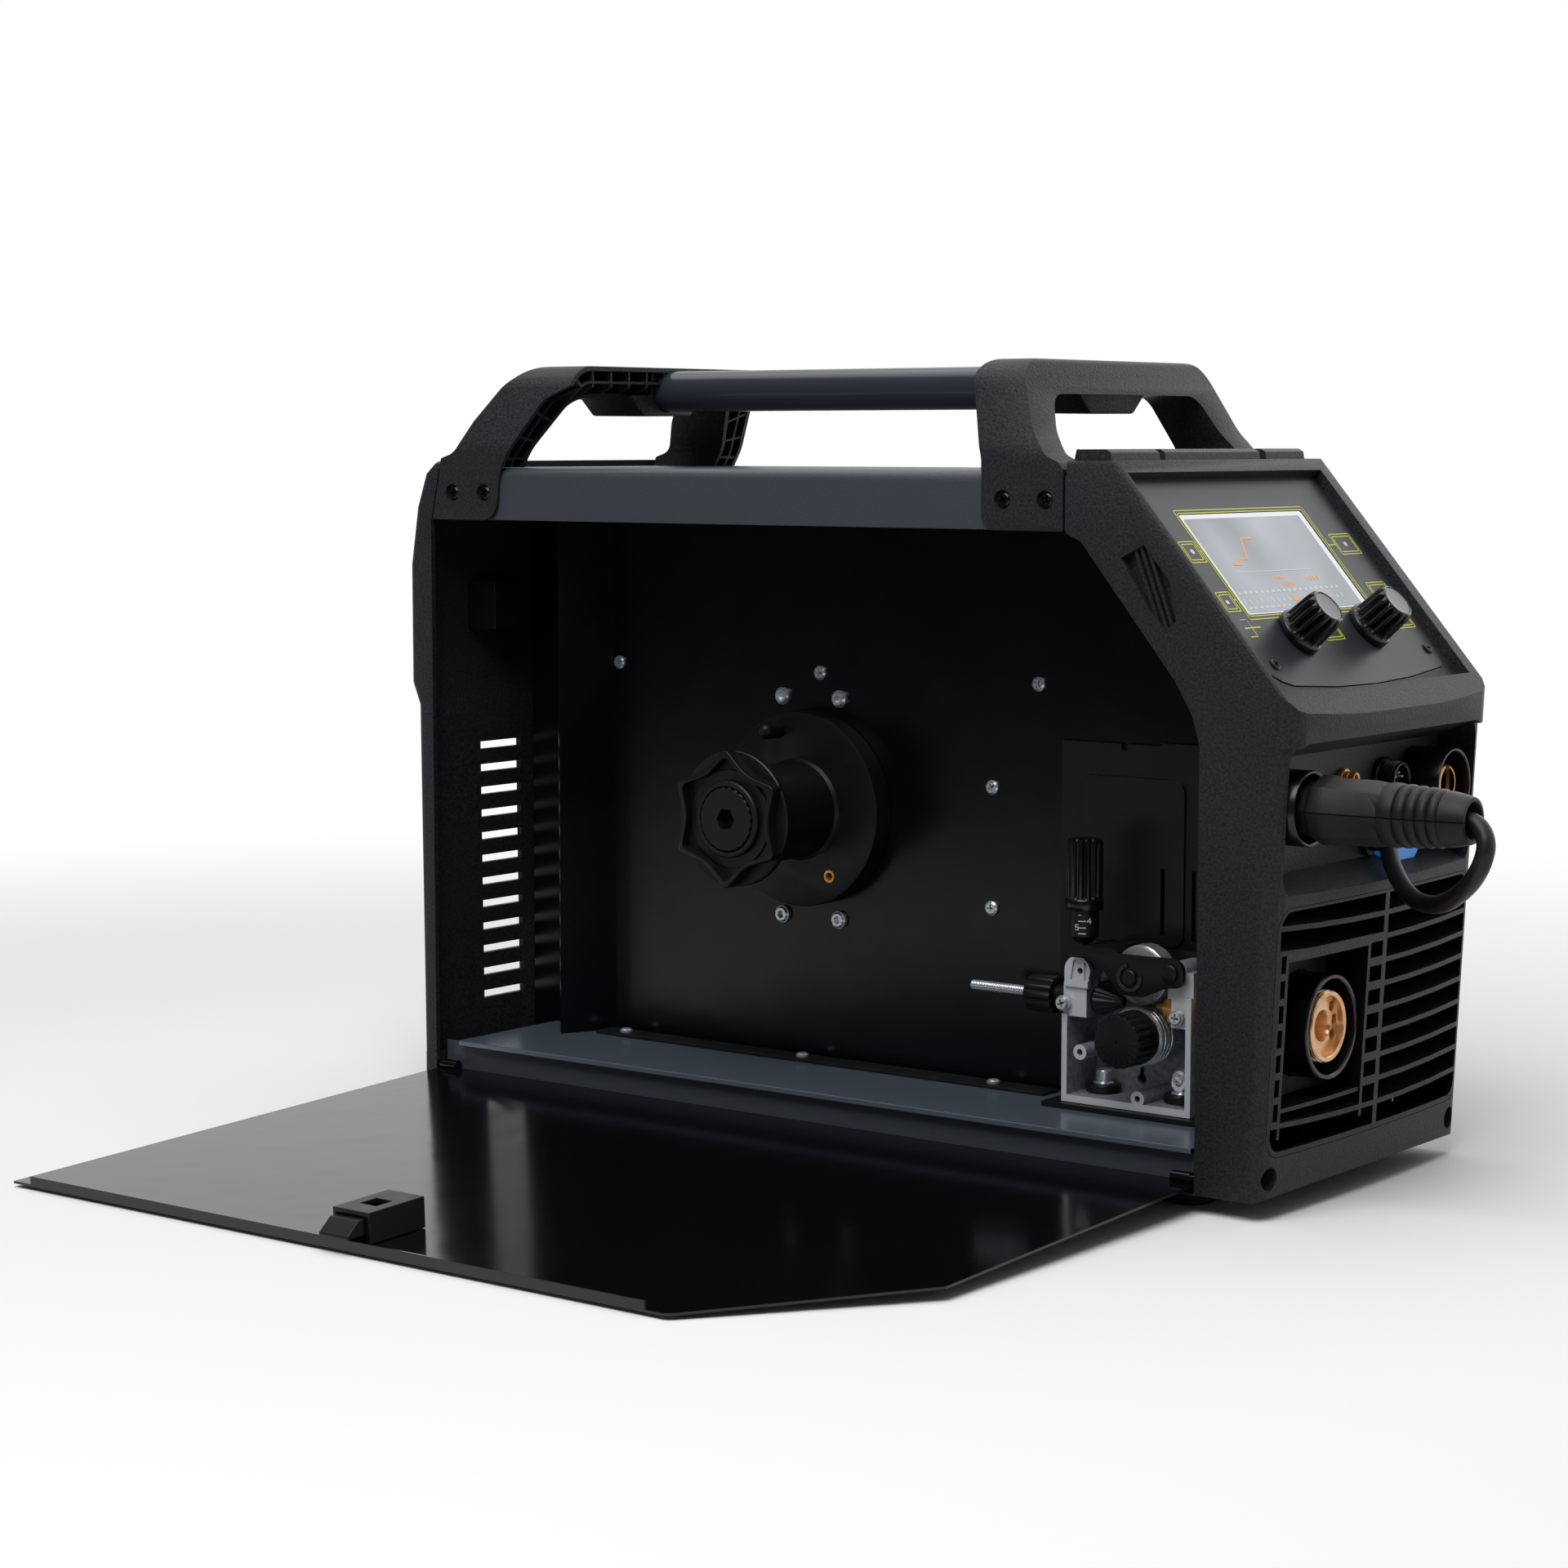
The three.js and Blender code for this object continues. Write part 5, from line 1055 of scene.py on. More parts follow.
def handle_bracket(name, side, opens, boss_from, boss_to):
    """Moulded arch: a hollow shell with ribs, open to one side, with a funnel that holds the tube."""
    wall, far, low, high = 2.5, CASE_WIDTH + 1, -230, 260
    side_run = filleted(side, 8)
    shell = combined(
        prism(name + "_eased", arch_band(arch_path(0), arch_path(0, True)), "x", low, high),
        ("INTERSECT", prism("side", side_run, "y", -1, far)), edge=1.3, segments=3, angle=50)
    pocket_side = combined(
        prism("pocket_side", [(x + opens * wall, z) for x, z in side_run], "y", 0, CASE_WIDTH),
        ("UNION", prism("reach", [(x + opens * 30, z) for x, z in side_run], "y", 0, CASE_WIDTH)))
    pocket = combined(
        prism("pocket", arch_band(arch_path(wall), arch_path(wall, True)), "x", low, high),
        ("INTERSECT", pocket_side))
    ribs = [prism("rib", arch_band(arch_path(7.7), arch_path(9.0)), "x", low, high)]
    half_planks = [((11, 390), (32, 371)), ((2, 368.5), (30, 359)), ((-1, 354), (24, 349.5)),
                   ((-1, 341.5), (20, 341.5))]
    for start, end in half_planks:
        ribs.append(prism("rib", plank(start, end), "x", low, high))
        ribs.append(prism("rib", plank((CASE_WIDTH - start[0], start[1]), (CASE_WIDTH - end[0], end[1])),
                          "x", low, high))
    for i in range(10):
        y = 32.3 + i * 14.6
        ribs.append(block("rib", low, high, y - 0.65, y + 0.65, BEAM_BOTTOM - 1, HANDLE_TOP + 1))
    solid = combined(
        prism("solid", arch_band(arch_path(0.5), arch_path(0.5, True)), "x", low, high),
        ("INTERSECT", prism("side", [(x - opens * 0.8, z - 0.5) for x, z in side_run], "y", 0, CASE_WIDTH)),
        ("INTERSECT", prism("side", [(x + opens * 0.5, z - 0.5) for x, z in side_run], "y", 0, CASE_WIDTH)))
    web = combined(ribs[0], *[("UNION", rib) for rib in ribs[1:]], ("INTERSECT", solid))
    half = CASE_WIDTH / 2
    funnel = filleted([(half - 30, BEAM_BOTTOM + 2, 1), (half - 29, BEAM_BOTTOM - 0.5, 2),
                       (half - 19.5, 364, 4), (half + 19.5, 364, 4), (half + 29, BEAM_BOTTOM - 0.5, 2),
                       (half + 30, BEAM_BOTTOM + 2, 1)])
    boss = combined(
        prism("boss", funnel, "x", boss_from, boss_to),
        ("UNION", block("boss_top", boss_from, boss_to, half - 13.4, half + 13.4, 372, 387)), edge=0.8)
    feet = []
    for y0, y1 in ((0, 2.2), (CASE_WIDTH - 2.2, CASE_WIDTH)):
        foot = combined(
            prism("foot", side_run, "y", y0, y1),
            ("INTERSECT", block("clip", low, high, -1, far, 308, 341)), edge=0.7, angle=50)
        feet.append(foot)
    sinks = []
    for x, z in HANDLE_SCREWS:
        if abs(x - (boss_from + boss_to) / 2) < 60:
            sinks.append(round_bar("sink", "y", x, z, 4.5, -1, 1.9))
            sinks.append(round_bar("sink", "y", x, z, 4.5, CASE_WIDTH - 1.9, far))
    bore = round_bar("bore", "x", half, TUBE_Z, 11.05, -122.3, 155.3)
    bracket = combined(
        shell, ("DIFFERENCE", pocket), ("UNION", web), ("UNION", boss), ("UNION", feet[0]),
        ("UNION", feet[1]), ("DIFFERENCE", bore), *[("DIFFERENCE", sink) for sink in sinks])
    return bracket


class WIREFEEDER_OT_handle(bpy.types.Operator):
    """Brackets and bar of the handle"""

    bl_idname = "wirefeeder.handle"
    bl_label = "Handle"

    def execute(self, context):
        front = handle_bracket("front_handle_bracket", FRONT_SIDE, -1, 149, 171)
        stands_for(front, "front_handle_bracket")
        rear = handle_bracket("rear_handle_bracket", REAR_SIDE, 1, -146, -110)
        stands_for(rear, "rear_handle_bracket")
        bar = turned_piece("handle_bar", at(-122, CASE_WIDTH / 2, TUBE_Z), CASE_FRONT, [
            (0, 0), (10.3, 0), (10.75, 0.4), (10.75, 276.6), (10.3, 277), (0, 277)], "tube_paint", 96)
        stands_for(bar, "handle_tube")
        return {"FINISHED"}


def ring_of(x_face, y, z, profile, material, name, sides=80):
    """Ring turned about an axis along x; the profile closes on itself."""
    return turned_piece(name, at(x_face, y, z), CASE_FRONT, list(profile) + [profile[0]], material, sides)


def current_socket(name, contact, y, contact_end):
    """Insulated barrel with a thin rim, and the slotted brass sleeve inside."""
    barrel = ring_of(0, y, SOCKET_Z, [
        (5.3, 288), (11, 288), (11, 302.7), (17.3, 302.7), (17.3, 324.1), (16.9, 324.7), (16.1, 324.7),
        (15.7, 324.2), (15.2, 312.4), (9.3, 312.2), (9.3, 305.4), (5.3, 305.4)], "gloss", name + "_eased")
    stands_for(barrel, name)
    sleeve = ring_of(0, y, SOCKET_Z, [
        (6.5, 308), (6.5, contact_end - 1.2), (7.2, contact_end), (8.4, contact_end), (9, contact_end - 0.6),
        (9, 305.7), (1.5, 305.7), (1.5, 308)], "brass", contact + "_eased")
    slot = block("slot", 311, 330, y - 1.8, y + 1.8, SOCKET_Z - 12, SOCKET_Z + 12)
    stands_for(combined(sleeve, ("DIFFERENCE", slot), edge=0.15), contact)


def plug(name):
    """Moulded plug: an eight-sided grip, rounded ribs, a hollow mouth and a parting line."""
    grip_run = [(12.5, 317), (12.5, 327), (15.4, 329), (15.9, 330.5), (15.9, 337), (15, 339.5), (15, 357),
                (14.2, 363.5)]
    grip = turned_piece(
        name + "_eased", at(0, 24, SOCKET_Z), CASE_FRONT, grip_run + [(6.2, 363.5), (6.2, 317), grip_run[0]],
        "rubber", 8, 25)
    eased(grip, 0.6, 2, 25)
    rib_run = [(12.9, 361)]
    valleys = (362.4, 370.6, 376, 381.1, 386.2, 391)
    for i, (x, after) in enumerate(zip(valleys, valleys[1:])):
        radius, length = 14.5 - i * 0.34, after - x
        rib_run += [(radius - 1.2, x), (radius - 0.4, x + 0.5), (radius, x + length * 0.35),
                    (radius - 0.05, x + length * 0.65), (radius - 0.5, after - 0.7)]
    rib_run += [(11.9, 391), (12.5, 391.6), (12.3, 394), (10.9, 401.6), (10.3, 403.2), (9.6, 403.4)]
    sleeve = turned_piece("sleeve", at(0, 24, SOCKET_Z), CASE_FRONT, rib_run + [
        (8.6, 403.4), (8.1, 402.6), (7.6, 392), (6.3, 385), (6.3, 361), rib_run[0]], "rubber", 72, 40)
    pin = round_bar("pin", "x", 24, SOCKET_Z, 6.1, 309, 318, "rubber")
    seam_run = [(x, r) for r, x in grip_run if x > 320] + [(x, r) for r, x in rib_run if x > 364]
    seams = []
    for way in (-1, 1):
        outline = [(x, 24 + way * (r + 2)) for x, r in seam_run]
        outline += [(x, 24 + way * (r - 0.9)) for x, r in reversed(seam_run)]
        seams.append(prism("seam", outline, "z", SOCKET_Z - 0.3, SOCKET_Z + 0.3, "rubber"))
    cuts = [("DIFFERENCE", seam) for seam in seams]
    return combined(grip, ("UNION", sleeve), ("UNION", pin), *cuts, angle=40)


class WIREFEEDER_OT_front(bpy.types.Operator):
    """Sockets, torch connector and louvres"""

    bl_idname = "wirefeeder.front"
    bl_label = "Front"

    def execute(self, context):
        moulded = context.scene.wire_feeder_case.edge_radius * 1000
        grille = dressed("front_grille", "moulding", moulded * 0.7)
        # The blades' faces that turn away from the front take a darker copy of the moulding without shine:
        # painted shade.
        grille.data.materials.append(finish("louvre_painted_shade"))
        for face in grille.data.polygons:
            if face.normal.x < 0.93:
                face.material_index = 1
        dressed("socket_panel", "moulding", 0.4)
        current_socket("left_socket", "left_contact", 24, 316)
        current_socket("right_socket", "right_contact", CASE_WIDTH - 32, 321)
        self.torch_connector()
        self.small_connectors()
        turns = [2 * math.pi * k / 72 for k in range(72)]
        bush_run = [(140 + 16 * math.cos(turn), 160 + 11 * math.sin(turn)) for turn in turns]
        # The bush's material glows faintly: painted light that keeps its blue in the shade of the nose.
        bush = eased(prism("polarity_bush", bush_run, "x", 302.4, 311, "blue"), 0.8, 3)
        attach(bush, "chassis")
        return {"FINISHED"}

    def torch_connector(self):
        """Collar and brass body that take the torch's plug, with two signal pins."""
        collar = ring_of(0, WIRE_Y, WIRE_Z, [
            (17.1, 292), (29, 292), (29, 296.7), (24.5, 296.7), (24.5, 317.3), (24, 318), (22.6, 318),
            (22.1, 317.4), (21.3, 298), (17.1, 298)], "gloss", "euro_shroud_eased", 96)
        stands_for(collar, "euro_shroud")
        thread = []
        for i in range(9):
            x = 298.6 + i * 1.9
            thread += [(16.75, x), (16.75, x + 0.9), (16.1, x + 1.2), (16.1, x + 1.6)]
        body = turned_piece("euro_adaptor_eased", at(0, WIRE_Y, WIRE_Z), CASE_FRONT, [
            (0, 250), (7, 250), (7, 262), (19.7, 262), (19.7, 291.5), (16.75, 291.5)] + thread + [
            (16.75, 315.9), (16.2, 316.5), (14.4, 316.5), (14.0, 316.1), (14.0, 312.9), (0, 312.9)],
            "copper", 96)
        holes = [round_bar("hole", "x", WIRE_Y + a, WIRE_Z + b, radius, low, 320, "copper", sides)
                 for a, b, radius, low, sides in ((0, 0, 6.4, 276, 64), (0, 0, 1.6, 240, 24),
                                                  (9.2, -5.2, 2.6, 300, 32), (8.3, 8.2, 2.4, 300, 32),
                                                  (11, 1.8, 2.4, 300, 32))]
        mouth = turned_piece("mouth", at(0, WIRE_Y, WIRE_Z), CASE_FRONT, [
            (0, 311), (6.4, 311), (7.6, 313.2), (0, 313.2)], "copper", 64)
        body = combined(body, *[("DIFFERENCE", hole) for hole in holes], ("DIFFERENCE", mouth), edge=0.2)
        stands_for(body, "euro_adaptor")
        for i, (side, up) in enumerate(((8.3, 8.2), (11, 1.8))):
            pin = turned_piece(f"signal_pin_{i + 1}", at(300, WIRE_Y + side, WIRE_Z + up), CASE_FRONT, [
                (0, 0), (1.5, 0), (1.5, 10.6), (1.1, 11.6), (0, 11.9)], "brass", 24)
            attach(pin, "chassis")

    def small_connectors(self):
        """Control socket with its thread and pins, and the shielding gas outlet."""
        y, z = CASE_WIDTH - 64.4, 190.4
        thread = []
        for i in range(5):
            x = 306.2 + i * 1.3
            thread += [(9.3, x), (9.3, x + 0.5), (8.8, x + 0.8), (8.8, x + 1.1)]
        shell = ring_of(0, y, z, [
            (6.2, 291), (8, 291), (8, 302.7), (11, 302.7), (11, 304.9), (10.4, 305.5), (9.3, 305.5)]
            + thread + [(9.3, 313.1), (8.8, 313.8), (7.8, 313.8), (7.3, 313.3), (7.2, 309), (6.2, 309)],
            "gloss", "control_socket_eased", 64)
        insert = round_bar("insert", "x", y, z, 6.6, 303, 309.4, "gloss", 48)
        stands_for(combined(shell, ("UNION", insert)), "control_socket")
        for k in range(6):
            turn = math.radians(30 + 60 * k)
            pin = turned_piece(f"control_pin_{k + 1}", at(309, y + 3.9 * math.cos(turn),
                                                         z + 3.9 * math.sin(turn)), CASE_FRONT, [
                (0, 0), (0.7, 0), (0.7, 2.6), (0.4, 3.1), (0, 3.2)], "zinc", 16)
            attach(pin, "chassis")
        nipple = ring_of(0, 92, 194, [
            (2.2, 290), (4, 290), (4, 302.7), (4.9, 302.7), (4.9, 304.8), (4.6, 305.1), (3.6, 305.1),
            (3.6, 307), (3.1, 307.4), (3.6, 308), (3.6, 309.4), (3.1, 310.4), (2.6, 310.4), (2.2, 310)],
            "brass", "gas_outlet_eased", 48)
        stands_for(nipple, "gas_outlet")


def boxes_of(areas, inset):
    """Corner-rounded outlines drawn inside rectangles given by their opposite corners."""
    return [rounded_box_run(u0 + inset, v0 + inset, u1 - inset, v1 - inset, 0.8, 3)
            for u0, v0, u1, v1 in areas]


class WIREFEEDER_OT_control_panel(bpy.types.Operator):
    """Printed panel, display and dials"""

    bl_idname = "wirefeeder.control_panel"
    bl_label = "Control panel"

    def execute(self, context):
        dressed("control_panel", "film", 0.3)
        dressed("display_lens", "glass", 0.2)
        for name, y in (("knob_left", 61.3), ("knob_right", 128.7)):
            self.dial(name, y)
        self.print_panel()
        self.print_page()
        return {"FINISHED"}

    def dial(self, name, y):
        """Grooved dial with a skirt and a dished top."""
        base = on_slope(100.5, y)
        turned_node(name, base, SLOPE_NORMAL, [
            (0, -5.8), (3, -5.8), (3, 0.3), (11.6, 0.3), (12, 0.8), (12, 3.3), (11.6, 3.9), (11.0, 4.2, 0),
            (10.9, 4.8, 0.5), (10.85, 5.6, 1), (10.4, 17.2, 1), (10.1, 18.8, 0.85), (9.6, 20, 0.45),
            (8.9, 20.7, 0.1), (8.3, 21), (7.9, 20.8), (7.8, 20.5), (0, 20.5)],
            "gloss", 168, 40, 14, 2.3)
        top = turned_piece(name + "_top", base, SLOPE_NORMAL, [
            (0, 20.3), (7.6, 20.3), (7.6, 20.75), (7.2, 20.7), (4.5, 20.62), (0, 20.58)], "dial_face", 72)
        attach(top, frame["nodes"][name]["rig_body"])

    def print_panel(self):
        """Yellow and grey lines printed round the display and the keys."""
        keys = ((44, 156.5, 56.4, 176.4), (74.3, 158.5, 102.4, 176.4), (44.4, 14.5, 56.5, 28),
                (73.9, 15.5, 85, 27.3), (92.5, 84.5, 105.4, 101.5))
        runs = [rounded_box_run(26.3, 29.6, 90.2, 149.6, 1.2, 3),
                rounded_box_run(28.0, 31.3, 88.4, 147.6, 0.8, 3)]
        lines = ribbon("panel_frame", runs + boxes_of(keys, 0) + boxes_of(keys, 1.5), 0.6, 0.12, 0.0,
                       "yellow_ink")
        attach(lines, "chassis")
        links = [[(50.3, 149.9), (50.3, 156.2)], [(50.4, 28.3), (50.4, 29.3)], [(78.6, 27.6), (78.6, 29.3)],
                 [(88, 150), (88, 158.2)], [(94.6, 19.5), (94.6, 33.6)],
                 [(94.6, 26), (99.6, 26), (99.6, 20)]]
        joints = ribbon("panel_links", links, 0.75, 0.12, 0.0, "yellow_ink", False)
        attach(joints, "chassis")
        greys = [[(89.9, 20), (89.9, 26), (94.2, 26)], [(95, 20), (95, 23)]]
        thin = ribbon("panel_grey_links", greys, 0.5, 0.12, 0.0, "grey_ink", False)
        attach(thin, "chassis")
        marks = [[(49, v), (51.4, v), (51.4, v + 2.6), (49, v + 2.6)] for v in (165.3, 20.2)]
        marks += [[(78.6, 19.6), (80.6, 19.6), (80.6, 22), (78.6, 22)]]
        chips = patch("key_marks", marks, 0.1, 0.0, "white_ink")
        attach(chips, "chassis")

    def print_page(self):
        """Page shown on the display: a step curve, a rule and rows of small marks."""
        page = patch("display_page", [rounded_box_run(31.4, 33.6, 86.6, 141.2, 0.6, 2)], 0.06, -0.08, "page")
        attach(page, "chassis")
        steps = [(43.8, 81), (43.8, 72), (56, 65), (55.6, 58), (59, 56.4), (58.6, 49)]
        curve = ribbon("display_curve", [steps], 1.3, 0.06, 0.0, "orange_ink", False)
        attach(curve, "chassis")
        rule = ribbon("display_rule", [[(63.4, 47), (63.8, 116)]], 0.5, 0.06, 0.0, "white_ink", False)
        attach(rule, "chassis")
        orange, grey = [], []
        for down, first, count, pitch in ((66.2, 78.5, 3, 2.9), (70.6, 80, 4, 2.9), (68, 105.5, 4, 3.4)):
            for i in range(count):
                v = first + i * pitch
                orange.append([(down, v), (down + 2.2, v), (down + 2.2, v + 1.7), (down, v + 1.7)])
        orange.append([(78.2, 81), (81.6, 81), (81.6, 86), (78.2, 86)])
        for i in range(19):
            v = 35.5 + i * 5.1
            grey.append([(74.4, v), (75.9, v), (75.9, v + 2.4), (74.4, v + 2.4)])
            if not 79 < v < 87:
                high = 78.2 + (i * 7 % 5) * 0.35
                grey.append([(high, v), (81.4, v), (81.4, v + 1.1), (high, v + 1.1)])
            if i < 8:
                grey.append([(83.4, v), (84.5, v), (84.5, v + 3), (83.4, v + 3)])
        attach(patch("display_values", orange, 0.06, 0.0, "orange_ink"), "chassis")
        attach(patch("display_rows", grey, 0.06, 0.0, "white_ink"), "chassis")


class WIREFEEDER_OT_hub(bpy.types.Operator):
    """Spool hub, nut and brake"""

    bl_idname = "wirefeeder.hub"
    bl_label = "Hub"

    def execute(self, context):
        dressed("hub_support", "zinc", 0.3)
        hub = turned_piece("spool_hub_eased", at(0, 0, HUB_Z), FAR_SIDE, [
            (9.4, 26), (19.6, 26), (19.6, 19.8), (24, 19.8), (24.8, 20.2), (25, 21), (25, 67.8), (26.5, 69.3),
            (49.5, 69.3), (50.3, 69.6), (50.5, 70.4), (50.5, 81.4), (47.5, 81.4), (47.5, 73.3), (25, 73.3),
            (25, 81.4), (9.4, 81.4), (9.4, 26)], "satin", 128)
        insert_hole = round_bar("hole", "y", 20.6, HUB_Z - 33.4, 3.4, 60, 90)
        pin = turned_piece("pin", at(-12.5, 0, HUB_Z + 40.8), FAR_SIDE, [
            (0, 55.3), (2, 55.3), (3.4, 56.2), (4.2, 57.6), (4.5, 59.5), (4.5, 72), (0, 72)], "satin", 40)
        hub = combined(hub, ("DIFFERENCE", insert_hole), ("UNION", pin))
        stands_for(hub, "spool_hub")
        insert = turned_piece("hub_insert", at(20.6, 0, HUB_Z - 33.4), FAR_SIDE, [
            (2.1, 69.0), (3.2, 69.0), (3.3, 69.4), (3.3, 78), (2.1, 78), (2.1, 69.0)], "brass", 32)
        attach(insert, frame["nodes"]["spool_hub"]["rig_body"])
        stands_for(self.nut(), "spool_nut")
        head = turned_piece("brake_adjuster_eased", at(0, 0, HUB_Z), FAR_SIDE, [
            (0, 9.6), (15.7, 9.6), (16.2, 9.9, 0.6), (16.5, 10.5, 1), (16.5, 19.6, 1), (15, 19.6), (15, 23.5),
            (0, 23.5)], "satin", 216, 30, 24, 1.1)
        socket = round_bar("socket", "y", 0, HUB_Z, 5.8, 5, 17, sides=6)
        stands_for(combined(head, ("DIFFERENCE", socket), angle=30), "brake_adjuster")
        return {"FINISHED"}

    def star(self, name, tip, flank, low, high):
        """Six-pointed prism with rounded points and hollow flanks."""
        corners = []
        for i in range(12):
            turn = math.radians(30 * i)
            reach, radius = (tip, 3.2) if i % 2 == 0 else (flank, 22)
            corners.append((-reach * math.sin(turn), HUB_Z + reach * math.cos(turn), radius))
        return prism(name, filleted(corners, 8), "y", low, high, "satin")

    def nut(self):
        """Nut with a rim round its face, a raised ring and a round flange behind."""
        body = eased(self.star("spool_nut_eased", 36, 26.6, 8.9, 16.4), 0.6, 3)
        hollow = self.star("hollow", 32.4, 24.4, 8, 14.2)
        flange = turned_piece("flange", at(0, 0, HUB_Z), FAR_SIDE, [
            (0, 15.6), (33.9, 15.6), (34.5, 16.2), (34.5, 19.0), (34, 19.5), (0, 19.5)], "satin", 120)
        ring = turned_piece("ring", at(0, 0, HUB_Z), FAR_SIDE, [
            (0, 10.2), (18.9, 10.2), (19.5, 10.8), (19.5, 18), (0, 18)], "satin", 96)
        floor = turned_piece("floor", at(0, 0, HUB_Z), FAR_SIDE, [
            (0, 13.2), (24.6, 13.2), (25, 13.6), (25, 18), (0, 18)], "satin", 96)
        bore = round_bar("bore", "y", 0, HUB_Z, 16.9, 0, 40, sides=96)
        return combined(body, ("DIFFERENCE", hollow), ("UNION", flange), ("UNION", floor), ("UNION", ring),
                        ("DIFFERENCE", bore), angle=35)


# Feed unit, in the drawing frame: the axes of the drive roll, the pressure roll, the arm's pivot and the
# tensioner, how far back a face of the housing may lie and still be milled, and where the bolts stand
DRIVE_X, DRIVE_Z = 216.4, 67.8
PRESS_X, PRESS_Z = 218, 97.8
PIVOT_X, PIVOT_Z = 240.1, 101.8
TENSION_X, TENSION_Y = 185.5, 54
MILLED_DEPTH = 51
BOLT_PLACES = ((190.5, 65), (235, 64))
BASE_PLATE_TOP = 36.8


class WIREFEEDER_OT_feed_unit(bpy.types.Operator):
    """Feed unit with its rolls, arm and tensioner"""

    bl_idname = "wirefeeder.feed_unit"
    bl_label = "Feed unit"

    def execute(self, context):
        self.housing()
        for name, material, edge in (
                ("feeder_base_plate", "satin", 0.3), ("gear_motor", "zinc", 0.3),
                ("tension_column", "satin", 0.2), ("backing_cover", "satin", 0.4),
                ("pressure_roll", "ground", 0.2)):
            dressed(name, material, edge)
        self.rolls()
        self.arm()
        self.tensioner()
        self.guides()
        self.fasteners()
        return {"FINISHED"}

    def housing(self):
        """Cast housing with grooves in its lobe, and pale milled faces towards the door."""
        body = new_object("feeder_housing_eased", frame["nodes"]["feeder_housing"].data.copy(), "casting")
        eased(body, 0)
        grooves = [prism("groove", run, "y", 46, 48.9) for run in (
            filleted([(181.6, 92.5, 0.8), (184.2, 92.5, 0.8), (185.2, 102.6, 0.8), (183.4, 102.6, 0.8)], 3),
            filleted([(189.6, 92.5, 0.8), (192, 92.5, 0.8), (191.2, 100.5, 0.8), (189.4, 102.6, 0.8)], 3))]
        hole = round_bar("hole", "y", 187.2, 97.5, 1.5, 44, 52, sides=24)
        ledge = block("ledge", 170, 200, 44, 48.8, 88.6, 89.4)
        combined(body, *[("DIFFERENCE", cut) for cut in grooves + [hole, ledge]], edge=0.5)
        body.data.materials.append(finish("milled"))
        for face in body.data.polygons:
            depth = (face.center.y - SHIFT.y) * 1000
            if face.normal.y < -0.8 and depth < MILLED_DEPTH:
                face.material_index = 1
        stands_for(body, "feeder_housing")

    def rolls(self):
        """Drive roll with its groove, and the scalloped cap that holds it."""
        turned_node("drive_roll", at(DRIVE_X, 0, DRIVE_Z), FAR_SIDE, [
            (0, 37), (5, 37), (5, 52), (12.9, 52), (13.4, 52.3), (14.1, 52.4), (14.7, 53), (14.7, 54.4),
            (14.2, 54.7), (14.2, 55.1), (14.7, 55.4), (14.7, 57), (13.7, 58), (14.7, 59), (14.7, 60.6),
            (14.2, 60.9), (14.2, 61.3), (14.7, 61.6), (14.7, 63.3), (14, 64), (8, 64), (8, 70), (5, 70),
            (5, 98), (0, 98)], "ground", 120)
        turned_node("drive_roll_cap", at(DRIVE_X, 0, DRIVE_Z), FAR_SIDE, [
            (0, 35.3), (0.9, 35.3), (1.0, 34.5), (12.2, 34.5), (12.7, 34.7, 0.6), (13, 35.2, 1), (13, 44, 1),
            (13, 47.5, 0.5), (13.2, 49, 0), (13.2, 51.7), (5.4, 51.7), (5.4, 36.6), (0, 36.6)],
            "satin", 200, 35, 20, 0.9)

    def arm(self):
        """Pressure arm: two plates with rounded ends, a web, the roll's pin and its clip."""
        corners = [
            (184, 104.5, 0.5), (184, 106.6, 1), (190, 110.4, 5), (208.6, 110.6, 1), (211, 108.4, 2),
            (247.1, 108.8, 6.9), (247.1, 95.2, 6.5), (238, 94.6, 3), (225, 88.9, 8), (213.5, 88.8, 8),
            (203, 99.4, 6), (193, 104.5, 3)]
        outline = filleted(corners, 8)
        front = eased(prism("pressure_arm_eased", outline, "y", 43.5, 46.5, "satin"), 0.5)
        back = prism("back", outline, "y", 68.5, 71.5, "satin")
        web = prism("web", [(184, 107), (190, 110.2), (206, 110.3), (206, 107.8), (190, 107.5), (186, 106)],
                    "y", 45, 70, "satin")
        slot = block("slot", 180, 189.5, 50.6, 57.4, 100, 115)
        pin = turned_piece("pin", at(PRESS_X, 0, PRESS_Z), FAR_SIDE, [
            (0, 41.6), (3.3, 41.6), (3.8, 42.1), (3.8, 44), (3, 44), (3, 73), (0, 73)], "satin", 48)
        made = combined(front, ("UNION", back), ("UNION", web), ("DIFFERENCE", slot), ("UNION", pin))
        stands_for(made, "pressure_arm")
        ring = []
        for reach, sweep in ((7.0, range(100, 376, 6)), (4.9, range(370, 94, -6))):
            turns = [math.radians(angle) for angle in sweep]
            ring += [(PRESS_X + reach * math.cos(turn), PRESS_Z + reach * math.sin(turn)) for turn in turns]
        clip = eased(prism("roll_clip", ring, "y", 42.5, 43.45, "gloss"), 0.2)
        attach(clip, frame["nodes"]["pressure_arm"]["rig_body"])
        turned_node("arm_pivot_pin", at(PIVOT_X, 0, PIVOT_Z), FAR_SIDE, [
            (0, 41.6), (3.6, 41.6), (4.1, 41.9), (4.4, 42.4), (4.4, 43.2), (2.7, 43.2), (2.7, 71.8),
            (4.4, 71.8), (4.4, 73), (0, 73)], "satin", 48)

